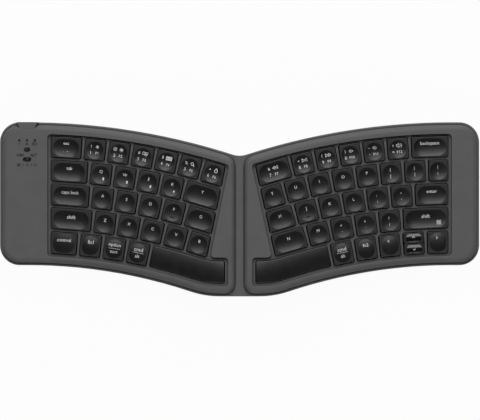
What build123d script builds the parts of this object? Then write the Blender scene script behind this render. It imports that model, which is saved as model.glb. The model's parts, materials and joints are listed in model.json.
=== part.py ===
from build123d import *

import os
from collections import namedtuple
from math import asin, atan, cos, degrees, hypot, pi, radians, sin, sqrt, tan

# A tented, curved, one-piece ergonomic keyboard. The origin is on the desk under the middle
# of the case. +X runs to the right, +Y to the rear, +Z up. All sizes are in millimetres.

# Case outline, seen from above
half_width = 190.0
case_depth = 137.7
corner_radius = 15.8
rear_arc_radius = 532.0
rear_arc_centre = 169.1
notch_radius = 17.0
front_arc_radius = 408.7
front_arc_centre = 167.2
front_rise = 24.4
front_blend_radius = 71.0

# Case section
tent_angle = 5.2
band_width = 2.2
pillow_height = 5.0
pillow_round = 3.9
band_round = 0.9
valley_width = 7.0
valley_rear_round = 9.5
valley_front_round = 7.9
wall = 2.0
floor_thickness = 1.8
bottom_round = 2.5
parting_drop = 3.4
end_room = 1.5
lip_height = 1.2
lip_width = 1.1
lip_clearance = 0.15

# Key layout. Rows are arcs about one centre per half, key positions are lengths along them
row_centre_inset = 167.2
row_centre_depth = -460.7
first_row_radius = 510.3
row_pitch = 18.82
letter_depth = 17.15
bottom_key_depth = 17.8
plain_width = 17.39
web_width = 1.66
key_gap = 0.45
opening_round = 1.9
cap_corner_round = 1.5
well_margin = 2.3
well_margin_rear = 1.3
well_round = 3.0
space_rear_flat = -40.55
space_front_flat = -58.5
space_rear_blend = 50.0
space_front_blend = 57.0
half_key_gap = 0.6
homing_keys = ("f", "j")

# Key section, measured square to the tilted face of a half
recess_depth = 1.7
web_thickness = 1.6
web_rim = 2.0
well_edge_round = 0.5
cap_proud = 0.3
skirt_below_web = 0.1
cap_draft = 2.0
cap_round = 0.45
cap_skin = 1.0
skirt_wall = 1.1
dish_depth = 0.9
dish_margin = 1.1
dish_shift = 0.4
dome_rise = 0.8
dome_side_margin = 1.65
dome_end_margin = 0.95
dome_corner = 6.2
pill_width = 12.3
pill_depth = 6.2
pill_rise = 0.9
pill_corner = 2.9
crown_root = 0.3
smallest_round = 0.4
smallest_spread = 0.8
homing_bar_length = 3.6
homing_bar_width = 0.8
homing_bar_rise = 0.35
homing_bar_place = -4.2
space_round = 0.6
space_vault = 45.0
space_crest = 2.5
key_travel = 1.8
travel_reserve = 0.3

# Key guides, domes, film and plate
plunger_width = 5.4
plunger_depth = 3.2
plunger_clearance = 0.15
sleeve_wall = 0.8
sleeve_reserve = 0.4
lug_width = 0.5
lug_height = 0.55
lug_clearance = 0.15
frame_thickness = 1.3
frame_margin = 3.0
frame_wall = 1.2
dome_reserve = 0.4
dome_base_radius = 3.8
dome_top_radius = 2.0
dome_wall = 0.45
dome_gap = 0.05
sheet_thickness = 0.4
film_thickness = 0.3
plate_thickness = 0.8
plate_floor_gap = 0.7
bridge_reach = 10.6
bridge_lap = 2.7
bridge_width = 10.0
bridge_y = -45.0
tail_lap = 1.6
tail_width = 12.0

# Spacebar stabiliser
wire_radius = 0.55
wire_half_length = 17.0
wire_arm = 9.5
wire_foot = 2.9
wire_bend = 1.4
wire_clearance = 0.15
wire_pivot_rear = 4.5
wire_bar_below_ceiling = 1.1
hook_width = 1.2
hook_depth = 3.2
clip_prong = 1.0
clip_place = 11.0
clip_width = 1.2
clip_side_clearance = 0.3

# Left panel: indicator lights, slide switches, charging port
panel_centre_inset = 21.9
light_pitch = 6.2
light_rear_gap = 14.45
light_pin_radius = 0.6
light_hole_clearance = 0.1
layout_switch_rear_gap = 21.85
layout_travel = 2.0
mode_switch_rear_gap = 29.55
mode_travel = 3.8
knob_width = 2.9
knob_depth = 2.5
knob_recess = 0.5
knob_end_clearance = 0.1
slot_depth = 3.5
shield_thickness = 0.5
housing_height = 2.2
housing_wall = 0.6
foot_width_x = 3.0
foot_depth_y = 2.4
foot_room = 0.3
foot_gap = 0.3
stem_size = 1.6
shield_lap = 0.4
shield_gap = 0.1
knob_round = 0.4
foot_height = 1.0
port_width = 8.94
port_height = 3.26
port_length = 7.35
port_shell = 0.3
port_clearance = 0.15
port_setback = 0.4
port_back = 1.5
port_cut_depth = 6.2
tongue_width = 6.7
tongue_height = 0.7
tongue_setback = 0.6
boss_rear_width = 17.1
boss_front_width = 11.2
boss_length = 5.1

# Controller board
board_width = 19.0
board_shift = 1.6
board_rear_gap = 5.35
board_length = 41.5
board_thickness = 1.0
board_post_radius = 2.0
board_drop = 4.1
board_screw_spots = [(-7.6, 33.5), (5.8, 33.5), (-7.6, 5.1)]
board_chips = [((-0.9, 31.0), (6.0, 6.0), 0.9), ((6.0, 26.0), (3.2, 2.5), 0.8)]
light_chip = (1.6, 1.0)
light_chip_height = 0.5
light_bar_height = 1.5
light_leg_radius = 0.9
light_leg_gap = 0.1
light_pin_recess = 0.05
radio_place = 33.5
radio_size = (8.0, 9.0)
radio_height = 1.2
lead_socket_place = 39.1
lead_socket = (6.0, 4.0)
lead_socket_height = 3.0
film_socket = (5.0, 15.0)
film_socket_shift = 6.5
film_socket_place = 21.5
film_socket_lip = 0.5
film_slot_gap = 0.1
tail_depth = 2.5

# Battery and its lead
battery_length = 62.0
battery_width = 38.0
battery_height = 5.0
battery_inner_end = 30.0
battery_y = -5.0
lead_radius = 0.8
lead_gap = 0.1
lead_bend = 6.0
lead_depth = 1.5
lead_end_gap = 0.5
lead_run = 38.0
lead_turn = (10.0, 3.0, 0.2)
lead_rise = (13.0, -0.3)
battery_round = 2.0
battery_edge = 1.0

# Fasteners and feet
case_screw_radius = 1.2
case_screw_head_radius = 2.3
case_screw_head_height = 1.6
case_screw_length = 6.2
case_boss_radius = 3.25
bottom_boss_radius = 4.0
boss_join = 6.0
head_pocket = 2.6
screw_clearance = 0.05
corner_screw_inset = 9.0
corner_screw_rear_inset = 18.85
corner_screw_front_inset = 34.85
centre_screw_rear_inset = 40.85
centre_screw_front_inset = 10.85
plate_screw_radius = 0.75
plate_screw_head_radius = 1.5
plate_screw_head_height = 0.7
plate_post_radius = 1.6
foot_rise = 1.0
foot_sink = 0.5
foot_length = 30.0
foot_width = 7.0
support_radius = 2.5
support_gap = 0.05
post_root = 0.5
head_clearance = 0.3
hole_clearance = 0.2
foot_clearance = 0.1
foot_round = 0.4
outer_foot_inset = 35.0
foot_rear_inset = 12.85
foot_front_inset = 35.85
inner_foot_places = [(35, -55), (32, 37)]
recess_length = 2.6
recess_width = 0.7
recess_sink = 0.9
screw_depth = 2.8
screw_end_gap = 0.3
pilot_room = 1.0

# How far cutting tools run past the faces that they cut
past_face = 1.0

tilt = radians(tent_angle)
sign = {"left": -1, "right": 1}
rear_y = case_depth / 2
front_y = -case_depth / 2

# Where each half's key field ends: outer edge, slanted inner edge, inner end of the spacebar
field_outer = {"left": 149.6, "right": 165.5}
inner_edge_reach = {"left": 10.95, "right": 12.0}
inner_edge_y = {"left": 33.3, "right": 34.9}
inner_edge_slope = {"left": 0.206, "right": 0.22}
space_inner = {"left": 11.5, "right": 12.5}

# Levels below (negative) or above the flat top of the pillows
band_level = -pillow_height
parting_level = band_level - parting_drop
web_top = -recess_depth
web_bottom = web_top - web_thickness
cap_top = cap_proud
cap_bottom = web_bottom - skirt_below_web
cap_ceiling = cap_top - dish_depth - cap_skin
frame_top = cap_bottom - key_travel - travel_reserve
frame_bottom = frame_top - frame_thickness
frame_middle = frame_top - frame_thickness / 2
sleeve_top = cap_ceiling - key_travel - sleeve_reserve
lug_top = frame_bottom - lug_clearance
plunger_bottom = lug_top - lug_height
dome_base = plunger_bottom - key_travel - dome_reserve
film_top = dome_base - sheet_thickness
plate_top = film_top - film_thickness
plate_bottom = plate_top - plate_thickness

# The ridge where the two top planes would meet. The stack of key parts has to clear the floor
# at the fields' outer edges, and so has the parting line at the case's ends.
floor_top = foot_rise + floor_thickness
field_reach = max(field_outer.values()) + frame_margin
stack_height = plate_floor_gap - plate_bottom / cos(tilt) + field_reach * tan(tilt)
end_height = end_room - parting_level / cos(tilt) + half_width * tan(tilt)
crown_height = floor_top + max(stack_height, end_height)

# The seats of plungers, wires, dishes and the rest, from the sizes above
sleeve_size = (plunger_width + 2 * (plunger_clearance + sleeve_wall),
               plunger_depth + 2 * (plunger_clearance + sleeve_wall))
guide_size = (plunger_width + 2 * plunger_clearance, plunger_depth + 2 * plunger_clearance)
dish_radius = letter_depth / 2 - key_gap - dish_margin
dish_ball = (dish_radius ** 2 + dish_depth ** 2) / (2 * dish_depth)
bar_level = cap_ceiling - wire_bar_below_ceiling
pivot_level = bar_level - key_travel
wire_rest_angle = asin(key_travel / wire_arm)
bar_place = wire_pivot_rear - wire_arm * cos(wire_rest_angle)
bar_place_pressed = wire_pivot_rear - wire_arm
saddle_place = wire_half_length + wire_foot - hook_width
seat = (Align.CENTER, Align.CENTER, Align.MIN)

planes = {
    side: Plane(
        origin=(0, 0, crown_height),
        x_dir=(cos(tilt), 0, -sign[side] * sin(tilt)),
        z_dir=(sign[side] * sin(tilt), 0, cos(tilt)),
    )
    for side in sign
}


def height_at(x, level):
    """Height above the desk of a level of the tilted halves, at distance x from the middle."""
    return crown_height + level / cos(tilt) - abs(x) * tan(tilt)


def on_half(side, point):
    """From (distance along the rows' tangent, y) to the tilted plane's own coordinates."""
    along, y = point
    return (sign[side] * (row_centre_inset - along) / cos(tilt), y)


def crossing(point, heading, normal, level):
    """Where the line through a point meets the line normal . q = level."""
    ahead = heading[0] * normal[0] + heading[1] * normal[1]
    reach = (level - point[0] * normal[0] - point[1] * normal[1]) / ahead
    return (point[0] + reach * heading[0], point[1] + reach * heading[1])


def on_row(radius, angle):
    """A point on an arc about the rows' centre."""
    return (radius * sin(angle), row_centre_depth + radius * cos(angle))


def inner_line(side, shift):
    """Normal and level of the slanted inner edge, moved towards the middle by shift."""
    slope = inner_edge_slope[side]
    start = row_centre_inset - inner_edge_reach[side]
    level = start - slope * inner_edge_y[side] + shift * hypot(1, slope)
    return (1, -slope), level


def inner_angle(side, radius, shift):
    """Angle at which an arc about the rows' centre meets the slanted inner edge."""
    slope = inner_edge_slope[side]
    level = inner_line(side, shift)[1]
    return atan(slope) + asin((level + slope * row_centre_depth) / (radius * hypot(1, slope)))


def outer_line(side, shift):
    """Distance along of the straight outer edge, moved inwards by shift."""
    return row_centre_inset - field_outer[side] + shift


# Keys: each has its row's radius, its depth, the angle of its middle and its width on the row
Key = namedtuple("Key", "name side radius depth angle width shape style")

row_radii = [first_row_radius - row * row_pitch for row in range(4)]
bottom_rear_radius = row_radii[3] - letter_depth / 2 - web_width
bottom_front_radius = bottom_rear_radius - bottom_key_depth
row_radii.append((bottom_rear_radius + bottom_front_radius) / 2)
row_depths = [letter_depth] * 4 + [bottom_key_depth]

# For each row: the outer key and its width, the plain keys inwards, the inner key
key_rows = {
    "left": [
        ("esc", 25.1, ["1", "2", "3", "4", "5"], "6"),
        ("tab", 29.8, ["q", "w", "e", "r"], "t"),
        ("caps_lock", 31.1, ["a", "s", "d", "f"], "g"),
        ("shift_left", 33.0, ["z", "x", "c", "v"], "b"),
        ("control", 21.5, ["fn1", "alt_left", "command_left"], "space_left"),
    ],
    "right": [
        ("backspace", 30.0, ["equals", "minus", "0", "9", "8"], "7"),
        ("backslash", 16.4, ["bracket_close", "bracket_open", "p", "o", "i", "u"], "y"),
        ("enter", 27.0, ["quote", "semicolon", "l", "k", "j"], "h"),
        ("shift_right", 36.5, ["slash", "period", "comma", "m"], "n"),
        ("arrow_right", 17.4, ["arrow_up_down", "arrow_left", "fn2", "command_right"],
         "space_right"),
    ],
}

# Neighbours of one shape that share a node; every other key has a node of its own
shared_nodes = {
    "keys_1_to_5": ["1", "2", "3", "4", "5"],
    "keys_q_to_r": ["q", "w", "e", "r"],
    "keys_a_to_d": ["a", "s", "d"],
    "keys_z_to_v": ["z", "x", "c", "v"],
    "keys_8_to_equals": ["8", "9", "0", "minus", "equals"],
    "keys_u_to_bracket": ["u", "i", "o", "p", "bracket_open", "bracket_close"],
    "keys_k_to_quote": ["k", "l", "semicolon", "quote"],
    "keys_m_to_slash": ["m", "comma", "period", "slash"],
}


def list_keys():
    """Every key opening, from the outer end of each row to its inner end."""
    found = []
    for side, rows in key_rows.items():
        for row, (outer_name, outer_width, plain_names, inner_name) in enumerate(rows):
            radius, depth = row_radii[row], row_depths[row]
            style = "dish" if row < 4 else "dome"
            start = radius * asin(outer_line(side, 0) / radius)
            spans = [(outer_name, outer_width, "outer", style)]
            spans += [(name, plain_width, "plain", style) for name in plain_names]
            if row < 4:
                reach = radius * inner_angle(side, radius, 0)
                last = (inner_name, "inner", style)
            else:
                reach = radius * asin((row_centre_inset - space_inner[side]) / radius)
                last = (inner_name, "bar", "bar")
            taken = sum(width + web_width for _, width, _, _ in spans)
            spans.append((last[0], reach - start - taken, last[1], last[2]))
            for name, width, shape, key_style in spans:
                angle = (start + width / 2) / radius
                found.append(Key(name, side, radius, depth, angle, width, shape, key_style))
                start += width + web_width
    return found


def split_arrows(openings):
    """The caps: one for each opening, but two half-height ones for the up and down arrows."""
    caps = []
    for opening in openings:
        if opening.name != "arrow_up_down":
            caps.append(opening)
            continue
        depth = (opening.depth + 2 * key_gap - half_key_gap) / 2
        shift = (opening.depth - depth) / 2
        for name, place in (("arrow_up", shift), ("arrow_down", -shift)):
            caps.append(opening._replace(name=name, radius=opening.radius + place, depth=depth,
                                         style="pill"))
    return caps


openings = list_keys()
keys = split_arrows(openings)


def on_key(key, along, across):
    """A place on a key, from its middle: along its row and across it, to the rear."""
    middle = on_row(key.radius, key.angle)
    return (
        middle[0] + along * cos(key.angle) + across * sin(key.angle),
        middle[1] - along * sin(key.angle) + across * cos(key.angle),
    )


def key_turn(key):
    """Turn of a key in its tilted plane, in degrees."""
    return sign[key.side] * degrees(key.angle)


def key_corners(key, inset):
    """The corners of a key's outline, drawn in by inset, in the tilted plane."""
    if key.style == "bar":
        first = key.angle + (inset - key.width / 2) / key.radius
        inner = row_centre_inset - space_inner[key.side] - inset
        corners = [on_row(bottom_rear_radius - inset, first),
                   on_row(bottom_front_radius + inset, first),
                   (inner, space_rear_flat - inset), (inner, space_front_flat + inset)]
        return [on_half(key.side, corner) for corner in corners]
    half_long = key.width / 2 - inset
    half_deep = key.depth / 2 - inset
    heading = (cos(key.angle), -sin(key.angle))
    outer = [on_key(key, -half_long, half_deep), on_key(key, -half_long, -half_deep)]
    inner = [on_key(key, half_long, half_deep), on_key(key, half_long, -half_deep)]
    if key.shape == "outer":
        limit = outer_line(key.side, inset)
        outer = [crossing(corner, heading, (1, 0), limit) for corner in outer]
    if key.shape == "inner":
        normal, level = inner_line(key.side, -inset)
        inner = [crossing(corner, heading, normal, level) for corner in inner]
    corners = [outer[0], inner[0], inner[1], outer[1]]
    return [on_half(key.side, corner) for corner in corners[::sign[key.side]]]


def draw_arc(side, centre, radius, first, last):
    """An arc about a centre, between two angles from the +Y direction."""
    points = []
    for angle in (first, (first + last) / 2, last):
        points.append(on_half(side, (centre[0] + radius * sin(angle),
                                     centre[1] + radius * cos(angle))))
    ThreePointArc(*points)
    return points[0], points[2]


def blend_of(radius, flat_y, blend):
    """Where an arc about the rows' centre runs over a blend into a flat line.

    Returns the blend's centre and the angle at which the arc ends. The blend's centre and
    that angle stay put when the whole edge is moved in or out.
    """
    centre_y = flat_y + blend
    rise = centre_y - row_centre_depth
    centre = (sqrt((radius + blend) ** 2 - rise ** 2), centre_y)
    return centre, asin(centre[0] / (radius + blend))


def draw_bar(key, inset):
    """Outline of a spacebar: two arcs that flatten towards the middle of the keyboard."""
    row_centre = (0, row_centre_depth)
    first = key.angle + (inset - key.width / 2) / key.radius
    inner = row_centre_inset - space_inner[key.side] - inset
    rear_blend, rear_turn = blend_of(bottom_rear_radius, space_rear_flat, space_rear_blend)
    front_blend, front_turn = blend_of(bottom_front_radius, space_front_flat, space_front_blend)
    rear = space_rear_flat - inset
    front = space_front_flat + inset
    half_turn = radians(180)
    with BuildLine() as edge:
        start, bend = draw_arc(key.side, row_centre, bottom_rear_radius - inset, first, rear_turn)
        _, flat = draw_arc(key.side, rear_blend, space_rear_blend + inset,
                           rear_turn + half_turn, half_turn)
        corner = on_half(key.side, (inner, rear))
        low_corner = on_half(key.side, (inner, front))
        Line(flat, corner)
        Line(corner, low_corner)
        low_flat, _ = draw_arc(key.side, front_blend, space_front_blend - inset,
                               half_turn, front_turn + half_turn)
        _, end = draw_arc(key.side, row_centre, bottom_front_radius + inset, front_turn, first)
        Line(low_corner, low_flat)
        Line(end, start)
    make_face(edge.edges())


def draw_key(key, inset, corner_round):
    """A key's outline, drawn in by inset, with rounded corners."""
    corners = key_corners(key, inset)
    if key.style == "bar":
        draw_bar(key, inset)
    else:
        with BuildLine() as edge:
            Polyline(*corners, close=True)
        make_face(edge.edges())
    fillet(vertices().filter_by(lambda v: near_points(v, corners)), radius=corner_round)


def near_points(vertex, points):
    """Whether a vertex of the current sketch is one of some points."""
    return any(hypot(vertex.X - x, vertex.Y - y) < 0.01 for x, y in points)


def draw_field(side, margin, rear_margin=None):
    """Outline of a half's whole key field, grown by margin, or by another behind it."""
    row_centre = (0, row_centre_depth)
    half_turn = radians(180)
    rear_radius = row_radii[0] + letter_depth / 2 + (rear_margin or margin)
    front_radius = bottom_front_radius - margin
    outer = outer_line(side, -margin)
    normal, level = inner_line(side, margin)
    step_y = space_rear_flat + margin
    low_y = space_front_flat - margin
    inner = row_centre_inset - space_inner[side] + margin
    front_blend, front_turn = blend_of(bottom_front_radius, space_front_flat, space_front_blend)
    with BuildLine() as edge:
        start, shoulder = draw_arc(side, row_centre, rear_radius, asin(outer / rear_radius),
                                   inner_angle(side, rear_radius, margin))
        step = on_half(side, crossing((0, step_y), (1, 0), normal, level))
        step_end = on_half(side, (inner, step_y))
        foot = on_half(side, (inner, low_y))
        Line(shoulder, step)
        Line(step, step_end)
        Line(step_end, foot)
        flat, _ = draw_arc(side, front_blend, space_front_blend + margin,
                           half_turn, front_turn + half_turn)
        _, end = draw_arc(side, row_centre, front_radius, front_turn, asin(outer / front_radius))
        Line(foot, flat)
        Line(end, start)
    make_face(edge.edges())
    round_corners = [start, shoulder, step, step_end, foot, end]
    fillet(vertices().filter_by(lambda v: near_points(v, round_corners)), radius=well_round)


def draw_case(round_notch=True):
    """Outline of the whole case, seen from above."""
    rear_centre = (rear_arc_centre, rear_y - rear_arc_radius)
    front_end = front_y + front_rise
    front_centre = (front_arc_centre, front_end - front_arc_radius)
    reach = front_arc_radius + front_blend_radius
    blend_y = front_y + front_blend_radius
    blend_x = front_centre[0] - sqrt(reach ** 2 - (blend_y - front_centre[1]) ** 2)
    turn = asin((front_centre[0] - blend_x) / reach)

    def on_circle(centre, radius, angle):
        return (centre[0] - radius * sin(angle), centre[1] + radius * cos(angle))

    notch_turn = asin(rear_centre[0] / rear_arc_radius)
    notch, rear_middle, rear_flat = [
        on_circle(rear_centre, rear_arc_radius, share * notch_turn) for share in (1, 0.5, 0)
    ]
    front_flat, front_middle, front_bend = [
        on_circle(front_centre, front_arc_radius, share * turn) for share in (0, 0.5, 1)
    ]
    blend_middle = on_circle((blend_x, blend_y), -front_blend_radius, turn / 2)
    with BuildLine() as edge:
        ThreePointArc(notch, rear_middle, rear_flat)
        Line(rear_flat, (half_width, rear_y))
        Line((half_width, rear_y), (half_width, front_end))
        Line((half_width, front_end), front_flat)
        ThreePointArc(front_flat, front_middle, front_bend)
        ThreePointArc(front_bend, blend_middle, (blend_x, front_y))
        Line((blend_x, front_y), (0, front_y))
        mirror(about=Plane.YZ)
    make_face(edge.edges())
    fillet(vertices().filter_by(lambda v: abs(abs(v.X) - half_width) < 0.01), radius=corner_radius)
    if round_notch:
        fillet(vertices().filter_by(lambda v: near_points(v, [notch])), radius=notch_radius)


def draw_pillow(side, inset):
    """Outline of one raised pillow, drawn in by inset."""
    draw_case(round_notch=False)
    offset(amount=-band_width)
    with Locations((-sign[side] * half_width, 0)):
        Rectangle(2 * half_width + valley_width, 2 * case_depth, mode=Mode.SUBTRACT)
    inner = vertices().filter_by(lambda v: abs(abs(v.X) - valley_width / 2) < 0.01)
    fillet(inner.sort_by(Axis.Y)[-1], radius=valley_rear_round)
    inner = vertices().filter_by(lambda v: abs(abs(v.X) - valley_width / 2) < 0.01)
    fillet(inner.sort_by(Axis.Y)[0], radius=valley_front_round)
    if inset:
        offset(amount=-inset)


def keep_below(level):
    """Cut the current part to what lies below a level of both tilted halves."""
    for side in sign:
        split(bisect_by=planes[side].offset(level), keep=Keep.BOTTOM)


def make_posts(places, radius, start, level):
    """Round posts from a height up to a level of the tilted halves."""
    with BuildPart() as posts:
        with BuildSketch(Plane.XY.offset(start)):
            with Locations(*places):
                Circle(radius)
        extrude(amount=2 * crown_height)
        keep_below(level)
    return posts.part


def make_pins(places, radius, start, end):
    """Upright round pins or hole tools between two heights."""
    with BuildPart() as pins:
        with BuildSketch(Plane.XY.offset(start)):
            with Locations(*places):
                Circle(radius)
        extrude(amount=end - start)
    return pins.part


def make_tilted_pins(side, places, radius, start, end):
    """Round pins or hole tools between two levels of a tilted half."""
    with BuildPart() as pins:
        with BuildSketch(planes[side].offset(start)):
            with Locations(*places):
                Circle(radius)
        extrude(amount=end - start)
    return pins.part


def make_box(side, place, size, start, end):
    """A block that stands between two levels of a tilted half."""
    with BuildPart() as block:
        with BuildSketch(planes[side].offset(start)):
            with Locations(place):
                Rectangle(*size)
        extrude(amount=end - start)
    return block.part


def key_plane(key, level):
    """The plane at a level on a key's middle, with its x axis along the row."""
    base = planes[key.side]
    place = on_half(key.side, on_key(key, 0, 0))
    heading = base.x_dir.rotate(Axis((0, 0, 0), base.z_dir), key_turn(key))
    origin = base.from_local_coords((place[0], place[1], level))
    return Plane(origin=origin, x_dir=heading, z_dir=base.z_dir)


def finish(builder, name):
    """Label a finished piece and write it."""
    builder.part.label = name
    export_step(builder.part, f"parts/{name}.step")


os.makedirs("parts", exist_ok=True)

# Places shared by several pieces
panel_x = -(half_width - panel_centre_inset)
board_rear_y = rear_y - board_rear_gap
board_front_y = board_rear_y - board_length
board_top = web_bottom - board_drop
board_bottom = board_top - board_thickness
corner_screw_x = half_width - corner_screw_inset
corner_screw_rows = (rear_y - corner_screw_rear_inset, front_y + corner_screw_front_inset)
centre_screw_rows = (rear_y - centre_screw_rear_inset, front_y + centre_screw_front_inset)
case_screw_places = [(0, y) for y in centre_screw_rows] + [
    (side * corner_screw_x, y) for side in (-1, 1) for y in corner_screw_rows
]
board_x = panel_x + board_shift
light_y = rear_y - light_rear_gap


def on_board(spot):
    """A place on the board, from its middle line and its rear edge, as seen from above."""
    return (board_x + spot[0], board_rear_y - spot[1])


board_screw_places = [on_board(spot) for spot in board_screw_spots]
film_socket_x, tail_y = on_board((film_socket_shift, film_socket_place))
tail_start = tail_lap - field_outer["left"]
plate_screw_rows = [(row_radii[0] + row_radii[1]) / 2, (row_radii[2] + row_radii[3]) / 2]
plate_screw_arcs = (45.0, 92.0, 138.0)
support_places = [(side * x, y) for side in (-1, 1)
                  for x, y in ((120, 30), (120, -28), (60, 30), (60, -38), (28, -36))]
outer_foot_x = half_width - outer_foot_inset
outer_foot_rows = (rear_y - foot_rear_inset, front_y + foot_front_inset)
foot_places = [(side * x, y) for side in (-1, 1)
               for x, y in ((outer_foot_x, outer_foot_rows[0]), (outer_foot_x, outer_foot_rows[1]),
                            *inner_foot_places)]
left = planes["left"]
switch_rows = {"layout": (rear_y - layout_switch_rear_gap, layout_travel),
               "mode": (rear_y - mode_switch_rear_gap, mode_travel)}
housing_top = board_top + housing_height
lead_socket_y = board_rear_y - lead_socket_place
lead_socket_front = lead_socket_y - lead_socket[1] / 2
lead_height = height_at(panel_x, board_top + lead_socket_height / 2)


def plate_screw_points(side):
    """Where the plate screws stand, in the tilted plane."""
    return [on_half(side, on_row(radius, arc / radius))
            for radius in plate_screw_rows for arc in plate_screw_arcs]


def on_left(x, y):
    """A place on the left half's tilted plane, given as seen from above."""
    return (x / cos(tilt), y)


# Pillows: the raised halves of the top case, each with its recessed well
pillows = {}
for side in sign:
    with BuildPart() as pillow:
        with BuildSketch(Plane.XY):
            draw_pillow(side, 0)
        extrude(amount=2 * crown_height)
        split(bisect_by=planes[side], keep=Keep.BOTTOM)
        split(bisect_by=planes[side].offset(parting_level), keep=Keep.TOP)
        lid = faces().sort_by(Axis((0, 0, 0), planes[side].z_dir))[-1]
        fillet(lid.edges(), radius=pillow_round)
        with BuildSketch(planes[side]):
            draw_field(side, well_margin, well_margin_rear)
        extrude(amount=-recess_depth, mode=Mode.SUBTRACT)
        lid = faces().sort_by(Axis((0, 0, 0), planes[side].z_dir))[-1]
        fillet(lid.inner_wires()[0].edges(), radius=well_edge_round)
    pillows[side] = pillow.part

# Hollow under each pillow, with thicker material where the web is
hollows = {}
for side in sign:
    with BuildPart() as hollow:
        with BuildSketch(Plane.XY):
            draw_pillow(side, wall)
        extrude(amount=2 * crown_height)
        split(bisect_by=planes[side].offset(-wall), keep=Keep.BOTTOM)
        with BuildSketch(planes[side].offset(web_bottom)):
            draw_field(side, well_margin + web_rim)
        extrude(amount=2 * recess_depth, mode=Mode.SUBTRACT)
    hollows[side] = hollow.part

# What the top case leaves free: all below the parting line, and the room inside the band
with BuildPart() as below_parting:
    with BuildSketch(Plane.XY):
        Rectangle(3 * half_width, 2 * case_depth)
    extrude(amount=2 * crown_height)
    keep_below(parting_level)

with BuildPart() as band_hollow:
    with BuildSketch(Plane.XY):
        draw_case()
        offset(amount=-wall)
    extrude(amount=2 * crown_height)
    keep_below(band_level - wall)

# Boss on the rear left edge, flat to the rear wall, for the charging port
with BuildPart() as port_boss:
    with BuildSketch(Plane.XY):
        draw_case()
        with BuildLine() as edge:
            Polyline(
                (panel_x - boss_rear_width / 2, rear_y),
                (panel_x + boss_rear_width / 2, rear_y),
                (panel_x + boss_front_width / 2, rear_y - boss_length),
                (panel_x - boss_front_width / 2, rear_y - boss_length),
                close=True,
            )
        make_face(edge.edges(), mode=Mode.INTERSECT)
    extrude(amount=2 * crown_height)
    split(bisect_by=planes["left"], keep=Keep.BOTTOM)

# Openings for the keys through the web
with BuildPart() as key_holes:
    for opening in openings:
        with BuildSketch(planes[opening.side].offset(web_bottom - key_gap)):
            draw_key(opening, 0, opening_round)
        extrude(amount=web_thickness + 2 * key_gap)

# Top case
light_places = [on_left(panel_x + shift * light_pitch, light_y) for shift in (-1, 0, 1)]
port_middle = board_top + port_height / 2
port_centre = left.from_local_coords((*on_left(panel_x, 0), port_middle))
pilot_top = floor_top + case_screw_length + pilot_room
port_plane = Plane(origin=(port_centre.X, rear_y + past_face, port_centre.Z), x_dir=left.x_dir,
                   z_dir=(0, -1, 0))


def draw_port_opening():
    """Outline of the charging port with its clearance."""
    SlotOverall(port_width + 2 * port_clearance, port_height + 2 * port_clearance)


with BuildPart() as top_case:
    with BuildSketch(Plane.XY):
        draw_case()
    extrude(amount=2 * crown_height)
    keep_below(band_level)
    split(bisect_by=Plane.XY.offset(height_at(valley_width / 2, band_level)), keep=Keep.BOTTOM)
    rims = edges().filter_by(lambda e: all(v.Z > foot_rise for v in e.vertices()))
    rims = rims.filter_by(lambda e: not e.is_interior)
    fillet(rims, radius=band_round)
    add(pillows["left"])
    add(pillows["right"])
    add(port_boss.part)
    for room in (below_parting.part, band_hollow.part, hollows["left"], hollows["right"]):
        add(room, mode=Mode.SUBTRACT)
    add(key_holes.part, mode=Mode.SUBTRACT)
    # Posts for the case screws and the board
    corners = case_screw_places[2:]
    add(make_posts(case_screw_places[:2], case_boss_radius, boss_join, band_level - wall / 2))
    add(make_posts(corners, case_boss_radius, boss_join, -wall / 2))
    add(make_pins(case_screw_places, case_screw_radius + screw_clearance,
                  boss_join - past_face, pilot_top), mode=Mode.SUBTRACT)
    board_posts = [on_left(*place) for place in board_screw_places]
    add(make_tilted_pins("left", board_posts, board_post_radius, board_top, -wall / 2))
    add(make_tilted_pins("left", board_posts, plate_screw_radius + screw_clearance,
                         board_top - past_face, board_top + screw_depth), mode=Mode.SUBTRACT)
    # Lights, slide switches and charging port
    add(make_tilted_pins("left", light_places, light_pin_radius + light_hole_clearance,
                         -wall - past_face, past_face), mode=Mode.SUBTRACT)
    for switch_y, travel in switch_rows.values():
        with BuildSketch(left.offset(past_face)):
            with Locations(on_left(panel_x, switch_y)):
                SlotOverall(travel + knob_width + 2 * knob_end_clearance, slot_depth)
        extrude(amount=-wall - 2 * past_face, mode=Mode.SUBTRACT)
    with BuildSketch(port_plane):
        draw_port_opening()
    extrude(amount=port_cut_depth + past_face, mode=Mode.SUBTRACT)
finish(top_case, "top_case")

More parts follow.
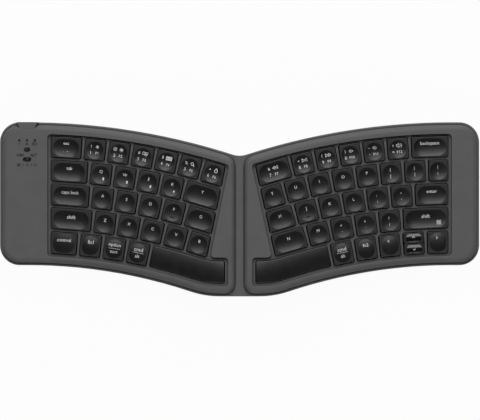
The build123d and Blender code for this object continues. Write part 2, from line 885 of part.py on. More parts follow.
# Bottom case
with BuildPart() as bottom_case:
    with BuildSketch(Plane.XY.offset(foot_rise)):
        draw_case()
    extrude(amount=crown_height)
    keep_below(parting_level)
    fillet(edges().group_by(Axis.Z)[0], radius=bottom_round)
    with BuildSketch(Plane.XY.offset(floor_top)):
        draw_case()
        offset(amount=-wall - lip_clearance)
    extrude(amount=crown_height)
    keep_below(parting_level + lip_height)
    with BuildSketch(Plane.XY.offset(floor_top)):
        draw_case()
        offset(amount=-wall - lip_clearance - lip_width)
    extrude(amount=crown_height, mode=Mode.SUBTRACT)
    # The lip makes way for the charging port
    with BuildSketch(port_plane):
        draw_port_opening()
    extrude(amount=port_cut_depth + past_face, mode=Mode.SUBTRACT)
    # Screw bosses and supports for the backing plates
    add(make_pins(case_screw_places, bottom_boss_radius, floor_top - post_root, boss_join))
    add(make_posts(support_places, support_radius, floor_top - post_root,
                   plate_bottom - support_gap))
    add(make_pins(case_screw_places, case_screw_head_radius + head_clearance, foot_rise,
                  foot_rise + head_pocket), mode=Mode.SUBTRACT)
    add(make_pins(case_screw_places, case_screw_radius + hole_clearance, foot_rise, boss_join),
        mode=Mode.SUBTRACT)
    # Pockets for the feet
    with BuildSketch(Plane.XY.offset(foot_rise)):
        with Locations(*foot_places):
            SlotOverall(foot_length + 2 * foot_clearance, foot_width + 2 * foot_clearance)
    extrude(amount=foot_sink, mode=Mode.SUBTRACT)
finish(bottom_case, "bottom_case")

# Rubber feet
with BuildPart() as rubber_feet:
    with BuildSketch(Plane.XY):
        with Locations(*foot_places):
            SlotOverall(foot_length, foot_width)
    extrude(amount=foot_rise + foot_sink)
    fillet(edges().group_by(Axis.Z)[0], radius=foot_round)
finish(rubber_feet, "rubber_feet")

# Case screws, up through the bottom case into the top case's posts
with BuildPart() as case_screws:
    head_base = foot_rise + head_pocket - case_screw_head_height
    add(make_pins(case_screw_places, case_screw_head_radius, head_base, foot_rise + head_pocket))
    add(make_pins(case_screw_places, case_screw_radius, foot_rise + head_pocket,
                  foot_rise + head_pocket + case_screw_length))
    with BuildSketch(Plane.XY.offset(head_base)):
        with Locations(*case_screw_places):
            Rectangle(recess_length, recess_width)
            Rectangle(recess_width, recess_length)
    extrude(amount=recess_sink, mode=Mode.SUBTRACT)
finish(case_screws, "case_screws")

# Key frames, dome sheets and backing plates, one of each per half
for side in sign:
    own_keys = [key for key in keys if key.side == side]
    bars = [key for key in own_keys if key.style == "bar"]
    screw_points = plate_screw_points(side)
    hole_radius = plate_screw_radius + hole_clearance
    with BuildPart() as key_frame:
        with BuildSketch(planes[side].offset(dome_base)):
            draw_field(side, frame_margin)
        extrude(amount=web_bottom - dome_base)
        for start, end in ((frame_top, web_bottom), (dome_base, frame_bottom)):
            with BuildSketch(planes[side].offset(start)):
                draw_field(side, frame_margin - frame_wall)
            extrude(amount=end - start, mode=Mode.SUBTRACT)
        for key in own_keys:
            with BuildSketch(key_plane(key, frame_middle)):
                Rectangle(*sleeve_size)
            extrude(amount=sleeve_top - frame_middle)
        for key in own_keys:
            with BuildSketch(key_plane(key, sleeve_top + frame_thickness)):
                Rectangle(*guide_size)
            extrude(amount=frame_bottom - sleeve_top - 2 * frame_thickness, mode=Mode.SUBTRACT)
        add(make_tilted_pins(side, screw_points, plate_post_radius, dome_base, frame_middle))
        add(make_tilted_pins(side, screw_points, plate_screw_radius + screw_clearance,
                             dome_base - frame_thickness, dome_base + screw_depth),
            mode=Mode.SUBTRACT)
        # Saddles for the spacebar's wire, open at the top so that it snaps in
        for key in bars:
            saddle = key_plane(key, frame_middle)
            places = [(side_step * saddle_place, wire_pivot_rear) for side_step in (-1, 1)]
            with BuildSketch(saddle):
                with Locations(*places):
                    Rectangle(hook_width, hook_depth)
            extrude(amount=pivot_level + wire_radius - frame_middle)
            axle = Plane(origin=saddle.from_local_coords((0, wire_pivot_rear,
                                                          pivot_level - frame_middle)),
                         x_dir=saddle.y_dir, z_dir=saddle.x_dir)
            with BuildSketch(axle):
                Circle(wire_radius + wire_clearance)
            extrude(amount=saddle_place + hook_width, both=True, mode=Mode.SUBTRACT)
    finish(key_frame, f"key_frame_{side}")

    with BuildPart() as dome_sheet:
        with BuildSketch(planes[side].offset(film_top)):
            draw_field(side, frame_margin)
            with Locations(*screw_points):
                Circle(hole_radius, mode=Mode.SUBTRACT)
        extrude(amount=sheet_thickness)
        rise = plunger_bottom - dome_gap - dome_base
        with Locations(*[key_plane(key, dome_base).location for key in own_keys]):
            Cone(dome_base_radius, dome_top_radius, rise, align=seat)
        with Locations(*[key_plane(key, film_top).location for key in own_keys]):
            Cone(dome_base_radius - dome_wall, dome_top_radius - dome_wall,
                 rise + sheet_thickness - dome_wall, align=seat, mode=Mode.SUBTRACT)
    finish(dome_sheet, f"dome_sheet_{side}")

    with BuildPart() as backing_plate:
        with BuildSketch(planes[side].offset(plate_bottom)):
            draw_field(side, frame_margin)
            with Locations(*screw_points):
                Circle(hole_radius, mode=Mode.SUBTRACT)
        extrude(amount=plate_thickness)
    finish(backing_plate, f"backing_plate_{side}")

# Circuit film: both fields, a bridge over the middle and a tail to the board
film_halves = []
for side in sign:
    with BuildPart() as film_half:
        with BuildSketch(planes[side].offset(plate_top)):
            draw_field(side, frame_margin)
            with Locations((sign[side] * bridge_reach / 2, bridge_y)):
                Rectangle(bridge_reach + 2 * bridge_lap, bridge_width)
            if side == "left":
                with Locations(on_left((tail_start + film_socket_x) / 2, tail_y)):
                    Rectangle(tail_start - film_socket_x, tail_width)
            with Locations(*plate_screw_points(side)):
                Circle(plate_screw_radius + hole_clearance, mode=Mode.SUBTRACT)
        extrude(amount=film_thickness)
        split(bisect_by=Plane.YZ, keep=Keep.BOTTOM if side == "left" else Keep.TOP)
    film_halves.append(film_half.part)
with BuildPart() as circuit_film:
    add(film_halves)
finish(circuit_film, "circuit_film")

# Plate screws, up through plate, film and sheet into the key frames, and those of the board
with BuildPart() as plate_screws:
    for side in sign:
        places = plate_screw_points(side)
        add(make_tilted_pins(side, places, plate_screw_head_radius,
                             plate_bottom - plate_screw_head_height, plate_bottom))
        add(make_tilted_pins(side, places, plate_screw_radius, plate_bottom,
                             dome_base + screw_depth - screw_end_gap))
    places = [on_left(*place) for place in board_screw_places]
    add(make_tilted_pins("left", places, plate_screw_head_radius,
                         board_bottom - plate_screw_head_height, board_bottom))
    add(make_tilted_pins("left", places, plate_screw_radius, board_bottom,
                         board_top + screw_depth - screw_end_gap))
finish(plate_screws, "plate_screws")


def make_wire(key):
    """Stabiliser wire of a spacebar: a bar, two arms and two feet in the frame's saddles."""
    plane = key_plane(key, 0)
    corners = []
    for side_step in (-1, 1):
        ends = [(side_step * (wire_half_length + wire_foot), wire_pivot_rear, pivot_level),
                (side_step * wire_half_length, wire_pivot_rear, pivot_level),
                (side_step * wire_half_length, bar_place, bar_level)]
        corners += ends if side_step == -1 else ends[::-1]
    with BuildPart() as wire:
        with BuildLine() as route:
            FilletPolyline(*[plane.from_local_coords(corner) for corner in corners],
                           radius=wire_bend)
        with BuildSketch(Plane(origin=route.line @ 0, z_dir=route.line % 0)):
            Circle(wire_radius)
        sweep(path=route.line)
    return wire


for key in keys:
    if key.style == "bar":
        finish(make_wire(key), f"space_wire_{key.side}")
        pivot = key_plane(key, pivot_level).from_local_coords((0, wire_pivot_rear, 0))
        axis = key_plane(key, 0).x_dir
        print("pivot", key.side, [round(value, 5) for value in (*pivot, *axis)],
              "ratio", round(wire_rest_angle / (key_travel / 1000), 3))


def make_crown(key):
    """The raised middle of a front-row cap: a shallow dome, or a vaulted pill on the arrows."""
    with BuildPart() as crown:
        if key.style == "pill":
            vault = (pill_depth ** 2 / 4 + pill_rise ** 2) / (2 * pill_rise)
            with BuildSketch(key_plane(key, cap_top - crown_root)):
                RectangleRounded(pill_width, pill_depth, pill_corner)
            extrude(amount=crown_root + pill_rise)
            with Locations(key_plane(key, cap_top + pill_rise - vault).location):
                Cylinder(vault, 2 * pill_width, rotation=(0, 90, 0), mode=Mode.INTERSECT)
        else:
            size = (key.width - 2 * key_gap - 2 * dome_side_margin,
                    key.depth - 2 * key_gap - 2 * dome_end_margin)
            reach = dome_corner + hypot(size[0] / 2 - dome_corner, size[1] / 2 - dome_corner)
            ball = (reach ** 2 + dome_rise ** 2) / (2 * dome_rise)
            with BuildSketch(key_plane(key, cap_top - crown_root)):
                RectangleRounded(*size, dome_corner)
            extrude(amount=crown_root + dome_rise)
            with Locations(key_plane(key, cap_top + dome_rise - ball).location):
                Sphere(ball, mode=Mode.INTERSECT)
    return crown.part


def make_cap(key):
    """One keycap: its top, hollow below, with its guide plunger."""
    plane = planes[key.side]
    skirt = max(cap_corner_round - skirt_wall, smallest_round)
    with BuildPart() as cap:
        with BuildSketch(plane.offset(cap_bottom)):
            draw_key(key, key_gap, cap_corner_round)
        extrude(amount=cap_top - cap_bottom, taper=0 if key.style == "bar" else cap_draft)
        if key.style == "bar":
            # Vaulted top, which falls away to the front
            crest = key_plane(key, cap_top - space_vault).location * Pos(0, space_crest, 0)
            with Locations(crest):
                Cylinder(space_vault, 2 * key.width, rotation=(0, 90, 0), mode=Mode.INTERSECT)
        lid = faces().sort_by(Axis((0, 0, 0), plane.z_dir))[-1]
        fillet(lid.edges(), radius=space_round if key.style == "bar" else cap_round)
        if key.style in ("dome", "pill"):
            add(make_crown(key))
        if key.style == "dish":
            spread = (key.width - key.depth) / 2
            slant = key.depth / 2 * abs(tan(key.angle)) if key.shape == "outer" else 0
            spread = max(spread - slant, 0)
            ball_plane = key_plane(key, cap_top + dish_ball - dish_depth)
            middle = ball_plane.location * Pos(0, -dish_shift, 0)
            ends = [middle * Pos(step * spread, 0, 0) for step in (-1, 1)]
            if spread > smallest_spread:
                with Locations(middle):
                    Cylinder(dish_ball, 2 * spread, rotation=(0, 90, 0), mode=Mode.SUBTRACT)
                with Locations(*ends):
                    Sphere(dish_ball, rotation=(90, 0, 0), mode=Mode.SUBTRACT)
            else:
                with Locations(middle):
                    Sphere(dish_ball, rotation=(90, 0, 0), mode=Mode.SUBTRACT)
        if key.name in homing_keys:
            from_middle = homing_bar_place + dish_shift
            bar_top = cap_top - dish_depth + from_middle ** 2 / (2 * dish_ball)
            with BuildSketch(key_plane(key, cap_ceiling)):
                with Locations((0, homing_bar_place)):
                    SlotOverall(homing_bar_length, homing_bar_width)
            extrude(amount=bar_top + homing_bar_rise - cap_ceiling)
        with BuildSketch(plane.offset(cap_bottom)):
            draw_key(key, key_gap + skirt_wall, skirt)
        extrude(amount=cap_ceiling - cap_bottom, mode=Mode.SUBTRACT)
        # Plunger with its two lugs, which catch below the frame
        with BuildSketch(key_plane(key, plunger_bottom)):
            Rectangle(plunger_width, plunger_depth)
        extrude(amount=cap_ceiling + crown_root - plunger_bottom)
        with BuildSketch(key_plane(key, plunger_bottom)):
            Rectangle(plunger_width + 2 * lug_width, plunger_depth)
        extrude(amount=lug_top - plunger_bottom)
        if key.style == "bar":
            gap = wire_radius + clip_side_clearance
            for prong in (-1, 1):
                place = (bar_place + bar_place_pressed) / 2 + prong * (gap + clip_prong / 2)
                with BuildSketch(key_plane(key, cap_bottom)):
                    with Locations((-clip_place, place), (clip_place, place)):
                        Rectangle(clip_width, clip_prong)
                extrude(amount=cap_ceiling + crown_root - cap_bottom)
    return cap.part


# Keycaps, each in a node of its own or with its like neighbours
node_of = {name: node for node, names in shared_nodes.items() for name in names}
cap_groups = {}
for key in keys:
    cap_groups.setdefault(node_of.get(key.name, f"key_{key.name}"), []).append(key)
for node, members in cap_groups.items():
    with BuildPart() as keycaps:
        add([make_cap(key) for key in members])
    finish(keycaps, node)

# Controller board in the left panel
with BuildPart() as controller_board:
    board_y = (board_rear_y + board_front_y) / 2
    with BuildSketch(left.offset(board_bottom)):
        with Locations(on_left(board_x, board_y)):
            Rectangle(board_width, board_length)
        with Locations(*[on_left(*place) for place in board_screw_places]):
            Circle(plate_screw_radius + hole_clearance, mode=Mode.SUBTRACT)
    extrude(amount=board_thickness)
    # Chips and lights
    for spot, size, height in board_chips:
        add(make_box("left", on_left(*on_board(spot)), size, board_top, board_top + height))
    for place in light_places:
        add(make_box("left", place, light_chip, board_top, board_top + light_chip_height))
    add(make_box("left", on_left(panel_x, board_rear_y - radio_place), radio_size, board_bottom,
                 board_bottom - radio_height))
    # Connectors for the battery's lead and for the circuit film
    add(make_box("left", on_left(panel_x, lead_socket_y), lead_socket, board_top,
                 board_top + lead_socket_height))
    film_middle = (film_top + plate_top) / 2
    add(make_box("left", on_left(film_socket_x, tail_y), film_socket, board_bottom,
                 plate_top - film_socket_lip))
    add(make_box("left", on_left(film_socket_x + film_socket[0] / 2 - tail_depth / 2, tail_y),
                 (tail_depth + past_face, tail_width + 2 * film_slot_gap),
                 plate_top - film_slot_gap, film_top + film_slot_gap), mode=Mode.SUBTRACT)
    lead_plane = Plane(origin=(panel_x, lead_socket_front, lead_height), x_dir=(1, 0, 0),
                       z_dir=(0, 1, 0))
    with BuildSketch(lead_plane):
        Circle(lead_radius + screw_clearance)
    extrude(amount=lead_depth + lead_end_gap, mode=Mode.SUBTRACT)
finish(controller_board, "controller_board")

# Charging port: a shell around a contact tongue
with BuildPart() as charging_port:
    shell_plane = Plane(origin=(port_centre.X, rear_y - port_setback, port_centre.Z),
                        x_dir=left.x_dir, z_dir=(0, -1, 0))
    with BuildSketch(shell_plane):
        SlotOverall(port_width, port_height)
    extrude(amount=port_length)
    with BuildSketch(shell_plane):
        SlotOverall(port_width - 2 * port_shell, port_height - 2 * port_shell)
    extrude(amount=port_length - port_back, mode=Mode.SUBTRACT)
    with BuildSketch(shell_plane.offset(tongue_setback)):
        Rectangle(tongue_width, tongue_height)
    extrude(amount=port_length - tongue_setback)
finish(charging_port, "charging_port")

# Slide switches: housings on the board, knobs that reach up into the slots
with BuildPart() as switch_housings:
    for switch_y, travel in switch_rows.values():
        place = on_left(panel_x, switch_y)
        inner = (travel + foot_width_x + 2 * foot_room, foot_depth_y + 2 * foot_room)
        outer = (inner[0] + 2 * housing_wall, inner[1] + 2 * housing_wall)
        add(make_box("left", place, outer, board_top, housing_top))
        add(make_box("left", place, inner, board_top, housing_top - housing_wall),
            mode=Mode.SUBTRACT)
        add(make_box("left", place, (travel + stem_size + 2 * foot_room, stem_size + 2 * foot_room),
                     board_top, housing_top + past_face), mode=Mode.SUBTRACT)
finish(switch_housings, "switch_housings")

for name, (switch_y, travel) in switch_rows.items():
    start = -travel / 2 if name == "layout" else 0
    place = on_left(panel_x + start, switch_y)
    shield = (2 * travel + knob_width + 2 * shield_lap, slot_depth + 2 * shield_lap)
    with BuildPart() as knob:
        add(make_box("left", place, (foot_width_x, foot_depth_y), board_top + foot_gap,
                     board_top + foot_gap + foot_height))
        add(make_box("left", place, (stem_size, stem_size), board_top + foot_gap,
                     -wall - shield_gap))
        add(make_box("left", place, shield, -wall - shield_gap - shield_thickness,
                     -wall - shield_gap))
        with BuildSketch(left.offset(-wall - shield_gap)):
            with Locations(place):
                SlotOverall(knob_width, knob_depth)
        extrude(amount=wall + shield_gap - knob_recess)
        lid = faces().sort_by(Axis((0, 0, 0), left.z_dir))[-1]
        fillet(lid.edges(), radius=knob_round)
    finish(knob, f"{name}_switch_knob")

# Light pipe: a bar below the skin, pins up into the light holes, legs down to the lights
with BuildPart() as light_pipe:
    bar = (2 * light_pitch + 4 * light_pin_radius, 4 * light_pin_radius)
    add(make_box("left", on_left(panel_x, light_y), bar, -wall - light_bar_height, -wall))
    add(make_tilted_pins("left", light_places, light_pin_radius, -wall - light_bar_height / 2,
                         -light_pin_recess))
    add(make_tilted_pins("left", light_places, light_leg_radius,
                         board_top + light_chip_height + light_leg_gap,
                         -wall - light_bar_height / 2))
finish(light_pipe, "light_pipe")

# Battery pack on the floor, with its lead to the board
battery_x = -battery_inner_end - battery_length / 2
with BuildPart() as battery_pack:
    with BuildSketch(Plane.XY.offset(floor_top)):
        with Locations((battery_x, battery_y)):
            RectangleRounded(battery_length, battery_width, battery_round)
    extrude(amount=battery_height)
    fillet(faces().sort_by(Axis.Z)[-1].edges(), radius=battery_edge)
finish(battery_pack, "battery_pack")

lead_start = battery_x - battery_length / 2
lead_floor = floor_top + lead_radius + lead_gap
with BuildPart() as battery_lead:
    with BuildLine() as route:
        FilletPolyline(
            (lead_start, battery_y, lead_floor),
            (lead_start - lead_run, battery_y, lead_floor),
            (panel_x + lead_turn[0], battery_y + lead_turn[1], lead_floor + lead_turn[2]),
            (panel_x, battery_y + lead_rise[0], lead_height + lead_rise[1]),
            (panel_x, lead_socket_front + lead_depth, lead_height),
            radius=lead_bend,
        )
    with BuildSketch(Plane(origin=route.line @ 0, z_dir=route.line % 0)):
        Circle(lead_radius)
    sweep(path=route.line)
lead_volume = pi * lead_radius ** 2 * sum(edge.length for edge in route.edges())
print("lead volume over section times length", battery_lead.part.volume / lead_volume)
finish(battery_lead, "battery_lead")
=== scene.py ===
import json
from collections import namedtuple
from math import asin, atan, cos, hypot, pi, radians, sin

import bmesh
import bpy
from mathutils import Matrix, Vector
from mathutils.bvhtree import BVHTree

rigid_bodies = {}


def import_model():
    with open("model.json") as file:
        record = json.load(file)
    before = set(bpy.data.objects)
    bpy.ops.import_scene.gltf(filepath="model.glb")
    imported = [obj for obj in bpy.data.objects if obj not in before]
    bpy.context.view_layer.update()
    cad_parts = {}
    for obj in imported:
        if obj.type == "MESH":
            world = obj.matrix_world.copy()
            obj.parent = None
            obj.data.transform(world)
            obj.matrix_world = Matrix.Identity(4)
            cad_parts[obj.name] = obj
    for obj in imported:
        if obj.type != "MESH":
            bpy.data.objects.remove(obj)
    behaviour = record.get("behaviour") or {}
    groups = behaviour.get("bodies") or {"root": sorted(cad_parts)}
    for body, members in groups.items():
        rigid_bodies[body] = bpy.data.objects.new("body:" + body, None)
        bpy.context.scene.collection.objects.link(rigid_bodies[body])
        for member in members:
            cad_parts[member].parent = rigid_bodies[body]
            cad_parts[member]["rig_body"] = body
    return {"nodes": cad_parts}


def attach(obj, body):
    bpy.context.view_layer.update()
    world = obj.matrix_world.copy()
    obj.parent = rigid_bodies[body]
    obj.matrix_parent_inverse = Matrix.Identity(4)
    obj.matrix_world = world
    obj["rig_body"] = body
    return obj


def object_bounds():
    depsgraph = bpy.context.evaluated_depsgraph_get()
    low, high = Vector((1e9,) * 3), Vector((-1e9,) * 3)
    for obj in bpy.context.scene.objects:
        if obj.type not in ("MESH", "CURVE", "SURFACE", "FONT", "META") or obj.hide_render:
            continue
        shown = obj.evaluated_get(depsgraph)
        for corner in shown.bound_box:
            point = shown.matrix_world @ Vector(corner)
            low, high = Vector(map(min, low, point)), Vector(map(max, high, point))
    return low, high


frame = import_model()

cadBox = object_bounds()
nodes = frame["nodes"]
scene = bpy.context.scene
mm = 0.001
print("frame loaded:", len(nodes), "nodes")

# Camera: straight above, far away, the rear of the keyboard at the top of the picture
camera = {"x": 0.35, "y": -0.7, "height": 3010.0, "lens": 284.0, "sensor": 36.0,
          "clipEnd": 100}
eye = bpy.data.objects.new("camera", bpy.data.cameras.new("camera"))
eye.data.lens = camera["lens"]
eye.data.sensor_width = camera["sensor"]
eye.data.clip_end = camera["clipEnd"]
eye.location = Vector((camera["x"], camera["y"], camera["height"])) * mm
scene.collection.objects.link(eye)
scene.camera = eye

# Studio: dim walls all round, a dark ceiling, a large softbox behind and a low one in front.
# share is how much of a level surface's light each softbox gives.
studio = {
    "wall": 0.10,
    "ceiling": 0.05,
    "wallTop": 0.22,
    "ceilingStart": 0.60,
    "floorColour": (0.60, 0.60, 0.60),
    "floorWhite": 0.96,
    "floorSize": 9000.0,
    "floorDrop": 0.05,
    "floorRoughness": 0.9,
    "floorSpecular": 0.1,
    "softboxes": {
        "rear": {"azimuth": 0, "elevation": 46, "distance": 2400, "size": (2300, 2300), "share": 0.84},
        "front": {"azimuth": 180, "elevation": 22, "distance": 2400, "size": (1400, 500), "share": 0.17},
    },
}


def feed(tree, socket, value):
    # A socket takes a link from another node or a plain value
    if isinstance(value, bpy.types.NodeSocket):
        tree.links.new(value, socket)
    else:
        socket.default_value = value


def addNode(tree, kind, inputs=None, **settings):
    node = tree.nodes.new(kind)
    for name, value in settings.items():
        setattr(node, name, value)
    for name, value in (inputs or {}).items():
        feed(tree, node.inputs[name], value)
    return node


def calc(tree, operation, first, second=0.0, third=0.0):
    node = addNode(tree, "ShaderNodeMath", operation=operation)
    for socket, value in zip(node.inputs, (first, second, third)):
        feed(tree, socket, value)
    return node.outputs[0]


def buildStudio():
    world = bpy.data.worlds.new("studio")
    world.use_nodes = True
    scene.world = world
    tree = world.node_tree
    place = addNode(tree, "ShaderNodeTexCoord").outputs["Generated"]
    height = addNode(tree, "ShaderNodeSeparateXYZ", {"Vector": place}).outputs["Z"]
    level = addNode(tree, "ShaderNodeMapRange", {
        "Value": height, "From Min": studio["wallTop"], "From Max": studio["ceilingStart"],
        "To Min": studio["wall"], "To Max": studio["ceiling"]}, interpolation_type="SMOOTHSTEP")
    tree.links.new(level.outputs["Result"], tree.nodes["Background"].inputs["Strength"])
    tree.nodes["Background"].inputs["Color"].default_value = (1, 1, 1, 1)
    for name, box in studio["softboxes"].items():
        lamp = bpy.data.lights.new(name, "AREA")
        lamp.shape = "RECTANGLE"
        lamp.size, lamp.size_y = (side * mm for side in box["size"])
        reach = box["distance"] * mm
        lamp.energy = box["share"] * pi ** 2 * reach ** 2 / sin(radians(box["elevation"]))
        turn, rise = radians(box["azimuth"]), radians(box["elevation"])
        away = Vector((sin(turn) * cos(rise), cos(turn) * cos(rise), sin(rise)))
        holder = bpy.data.objects.new(name, lamp)
        holder.location = away * reach
        holder.rotation_mode = "QUATERNION"
        holder.rotation_quaternion = away.to_track_quat("Z", "Y")
        scene.collection.objects.link(holder)


def buildFloor():
    half = studio["floorSize"] * mm / 2
    mesh = bpy.data.meshes.new("floor")
    mesh.from_pydata([(-half, -half, 0), (half, -half, 0), (half, half, 0), (-half, half, 0)],
                     [], [(0, 1, 2, 3)])
    floor = bpy.data.objects.new("floor", mesh)
    floor.location.z = -studio["floorDrop"] * mm
    scene.collection.objects.link(floor)
    material = bpy.data.materials.new("paleFloor")
    material.use_nodes = True
    tree = material.node_tree
    shader = tree.nodes["Principled BSDF"]
    shader.inputs["Base Color"].default_value = (*studio["floorColour"], 1)
    shader.inputs["Roughness"].default_value = studio["floorRoughness"]
    shader.inputs["Specular IOR Level"].default_value = studio["floorSpecular"]
    # What looks straight at the floor sees it part white, with its shadows only part as deep
    paths = addNode(tree, "ShaderNodeLightPath").outputs
    seen = calc(tree, "MAXIMUM", paths["Is Camera Ray"], paths["Is Glossy Ray"])
    seen = calc(tree, "MAXIMUM", seen, paths["Is Transmission Ray"])
    share = calc(tree, "MULTIPLY", seen, studio["floorWhite"])
    white = addNode(tree, "ShaderNodeEmission", {"Strength": 1.0}).outputs[0]
    both = addNode(tree, "ShaderNodeMixShader", {"Fac": share})
    tree.links.new(shader.outputs[0], both.inputs[1])
    tree.links.new(white, both.inputs[2])
    tree.links.new(both.outputs[0], tree.nodes["Material Output"].inputs["Surface"])
    mesh.materials.append(material)


buildStudio()
buildFloor()
print("studio built")

# The two top planes lean out from a ridge; a level is a distance above or below them, in mm
tilted = {"turn": radians(5.2), "ridge": 30.08}


def objectPlace(tree):
    return addNode(tree, "ShaderNodeTexCoord").outputs["Object"]


def newFinish(name):
    material = bpy.data.materials.new(name)
    material.use_nodes = True
    tree = material.node_tree
    return material, tree, tree.nodes["Principled BSDF"], objectPlace(tree)


def between(tree, value, low, high, start=0.0, end=1.0, smooth=False):
    style = "SMOOTHSTEP" if smooth else "LINEAR"
    node = addNode(tree, "ShaderNodeMapRange", {
        "Value": value, "From Min": low, "From Max": high, "To Min": start, "To Max": end},
        interpolation_type=style)
    return node.outputs["Result"]


cloudLook = {"roughness": 0.55, "spread": 0.4}


def cloud(tree, place, size, detail=3.0, stretch=None, contrast=1.0):
    # Soft noise from 0 to 1, with blobs of about this size in mm, stretched along an axis whose
    # stretch is under 1
    if stretch:
        place = addNode(tree, "ShaderNodeMapping", {"Vector": place, "Scale": stretch}).outputs[0]
    noise = addNode(tree, "ShaderNodeTexNoise", {
        "Vector": place, "Scale": 1 / (size * mm), "Detail": detail,
        "Roughness": cloudLook["roughness"]})
    reach = cloudLook["spread"] * (0.5 / contrast)
    return between(tree, noise.outputs["Fac"], 0.5 - reach, 0.5 + reach)


def blendColours(tree, share, first, second):
    # A mix node's colours are its inputs 6 and 7 and its output 2
    node = addNode(tree, "ShaderNodeMix", data_type="RGBA")
    for index, value in ((6, first), (7, second)):
        feed(tree, node.inputs[index], (*value, 1) if isinstance(value, tuple) else value)
    feed(tree, node.inputs[0], share)
    return node.outputs[2]


def roughen(tree, shader, height, depth, below=None):
    # depth is the relief in mm, below is a coarser relief that it lies on
    inputs = {"Height": height, "Distance": depth * mm, "Strength": 1.0}
    if below:
        inputs["Normal"] = below
    bump = addNode(tree, "ShaderNodeBump", inputs).outputs["Normal"]
    tree.links.new(bump, shader.inputs["Normal"])
    return bump


def tiltedLevel(tree, place):
    # Level over the tilted top planes, in mm
    parts = addNode(tree, "ShaderNodeSeparateXYZ", {"Vector": place})
    aside = calc(tree, "ABSOLUTE", parts.outputs["X"])
    slant = calc(tree, "MULTIPLY", aside, sin(tilted["turn"]) / mm)
    raised = calc(tree, "MULTIPLY_ADD", parts.outputs["Z"], cos(tilted["turn"]) / mm,
                  -tilted["ridge"] * cos(tilted["turn"]))
    return calc(tree, "ADD", slant, raised)


def mouldedPlastic(name, look):
    # Moulded plastic: faint cloudy colour, spark-eroded grain, patches of sheen, and, where the look asks
    # for it, painted shade in the grooves and at the foot of the wells' rear walls
    material, tree, shader, place = newFinish(name)
    patches = cloud(tree, place, look["patchSize"], detail=2)
    grain = cloud(tree, place, look["grainSize"], detail=4, contrast=1.3)
    dark = tuple(c * (1 - look["unevenness"]) for c in look["colour"])
    pale = tuple(c * (1 + look["unevenness"]) for c in look["colour"])
    tint = blendColours(tree, patches, dark, pale)
    pits = between(tree, grain, 0.0, look["pitShare"])
    tint = blendColours(tree, pits, dark, tint)
    if "creaseShade" in look:
        # Painted shade: the groove round the pillows is darkened in its colour where ambient occlusion
        # finds it closed in, in place of the shade that falls there
        grooveOcclusion = addNode(tree, "ShaderNodeAmbientOcclusion", {"Distance": look["creaseReach"] * mm},
                       only_local=True, samples=look["creaseSamples"])
        unshadedShare = between(tree, grooveOcclusion.outputs["AO"], look["creaseDeep"], look["creaseOpen"], smooth=True)
        level = tiltedLevel(tree, place)
        unshadedShare = calc(tree, "MAXIMUM", unshadedShare, between(tree, level, *look["creaseLevels"]))
        # Painted shadow too at the foot of the wells' rear wall: occlusion sought towards the rear darkens
        # the colour there, in place of the rear wall's shadow
        rearward = addNode(tree, "ShaderNodeCombineXYZ", {"X": 0.0, "Y": 1.0, "Z": look["footLean"]})
        rearWallOcclusion = addNode(tree, "ShaderNodeAmbientOcclusion", {
            "Distance": look["footReach"] * mm, "Normal": rearward.outputs[0]},
            only_local=True, samples=look["creaseSamples"])
        footUnshaded = between(tree, rearWallOcclusion.outputs["AO"], look["footDeep"], look["footUnshaded"], smooth=True)
        footUnshaded = calc(tree, "MAXIMUM", footUnshaded, between(tree, level, *look["footLevels"]))
        footUnshaded = calc(tree, "MAXIMUM", footUnshaded, between(tree, level, *look["webLevels"]))
        unshadedShare = calc(tree, "MINIMUM", unshadedShare, footUnshaded)
        # The painted shade and painted shadow darken the colour itself
        tint = blendColours(tree, unshadedShare, tuple(c * look["creaseShade"] for c in dark), tint)
    tree.links.new(tint, shader.inputs["Base Color"])
    tree.links.new(between(tree, patches, 0, 1, *look["roughness"]), shader.inputs["Roughness"])
    wave = roughen(tree, shader, cloud(tree, place, look["waveSize"], detail=1), look["waveDepth"])
    roughen(tree, shader, grain, look["grainDepth"], below=wave)
    shader.inputs["Specular IOR Level"].default_value = look["specular"]
    return material


caseLook = {
    "colour": (0.098, 0.098, 0.101), "unevenness": 0.05, "roughness": (0.50, 0.58), "specular": 0.32,
    "patchSize": 14, "grainSize": 0.32, "grainDepth": 0.022, "waveSize": 9, "waveDepth": 0.010,
    "pitShare": 0.35,
    # The crease and foot keys set the painted shade in the grooves and the painted shadow at the wells'
    # rear walls
    "creaseShade": 0.22, "creaseReach": 1.6, "creaseDeep": 0.56, "creaseOpen": 0.90, "creaseSamples": 8,
    "creaseLevels": (-3.8, -2.4), "footReach": 4.0, "footLean": 0.6, "footDeep": 0.45,
    "footUnshaded": 0.85, "footLevels": (-0.7, -0.1), "webLevels": (-2.4, -3.0),
}
# The bottom case takes the same painted shade and painted shadow
bottomLook = {**caseLook, "colour": (0.055, 0.055, 0.057), "grainSize": 0.5, "grainDepth": 0.035}
frameLook = {
    "colour": (0.022, 0.022, 0.024), "unevenness": 0.10, "roughness": (0.42, 0.55), "specular": 0.5,
    "patchSize": 10, "grainSize": 0.4, "grainDepth": 0.015, "waveSize": 5, "waveDepth": 0.02,
    "pitShare": 0.35,
}
switchLook = {
    "colour": (0.016, 0.016, 0.017), "unevenness": 0.08, "roughness": (0.30, 0.38), "specular": 0.5,
    "patchSize": 2, "grainSize": 0.15, "grainDepth": 0.006, "waveSize": 2, "waveDepth": 0.004,
    "pitShare": 0.35,
}
capLook = {
    "colour": (0.0036, 0.0036, 0.0039), "unevenness": 0.10, "specular": 0.60,
    "patchSize": 6, "grainSize": 0.22, "grainDepth": 0.010, "dishGrain": 0.35,
    "dust": 0.004, "dustSize": 0.35, "dustShare": (0.86, 0.98),
    "capTop": 0.3, "dishStart": 0.01, "dishFull": 0.05,
    "rimRoughness": 0.64, "dishRoughness": (0.35, 0.40),
    "pillRim": 0.85, "pillPolish": 0.50, "spacePolish": 1.05,
}


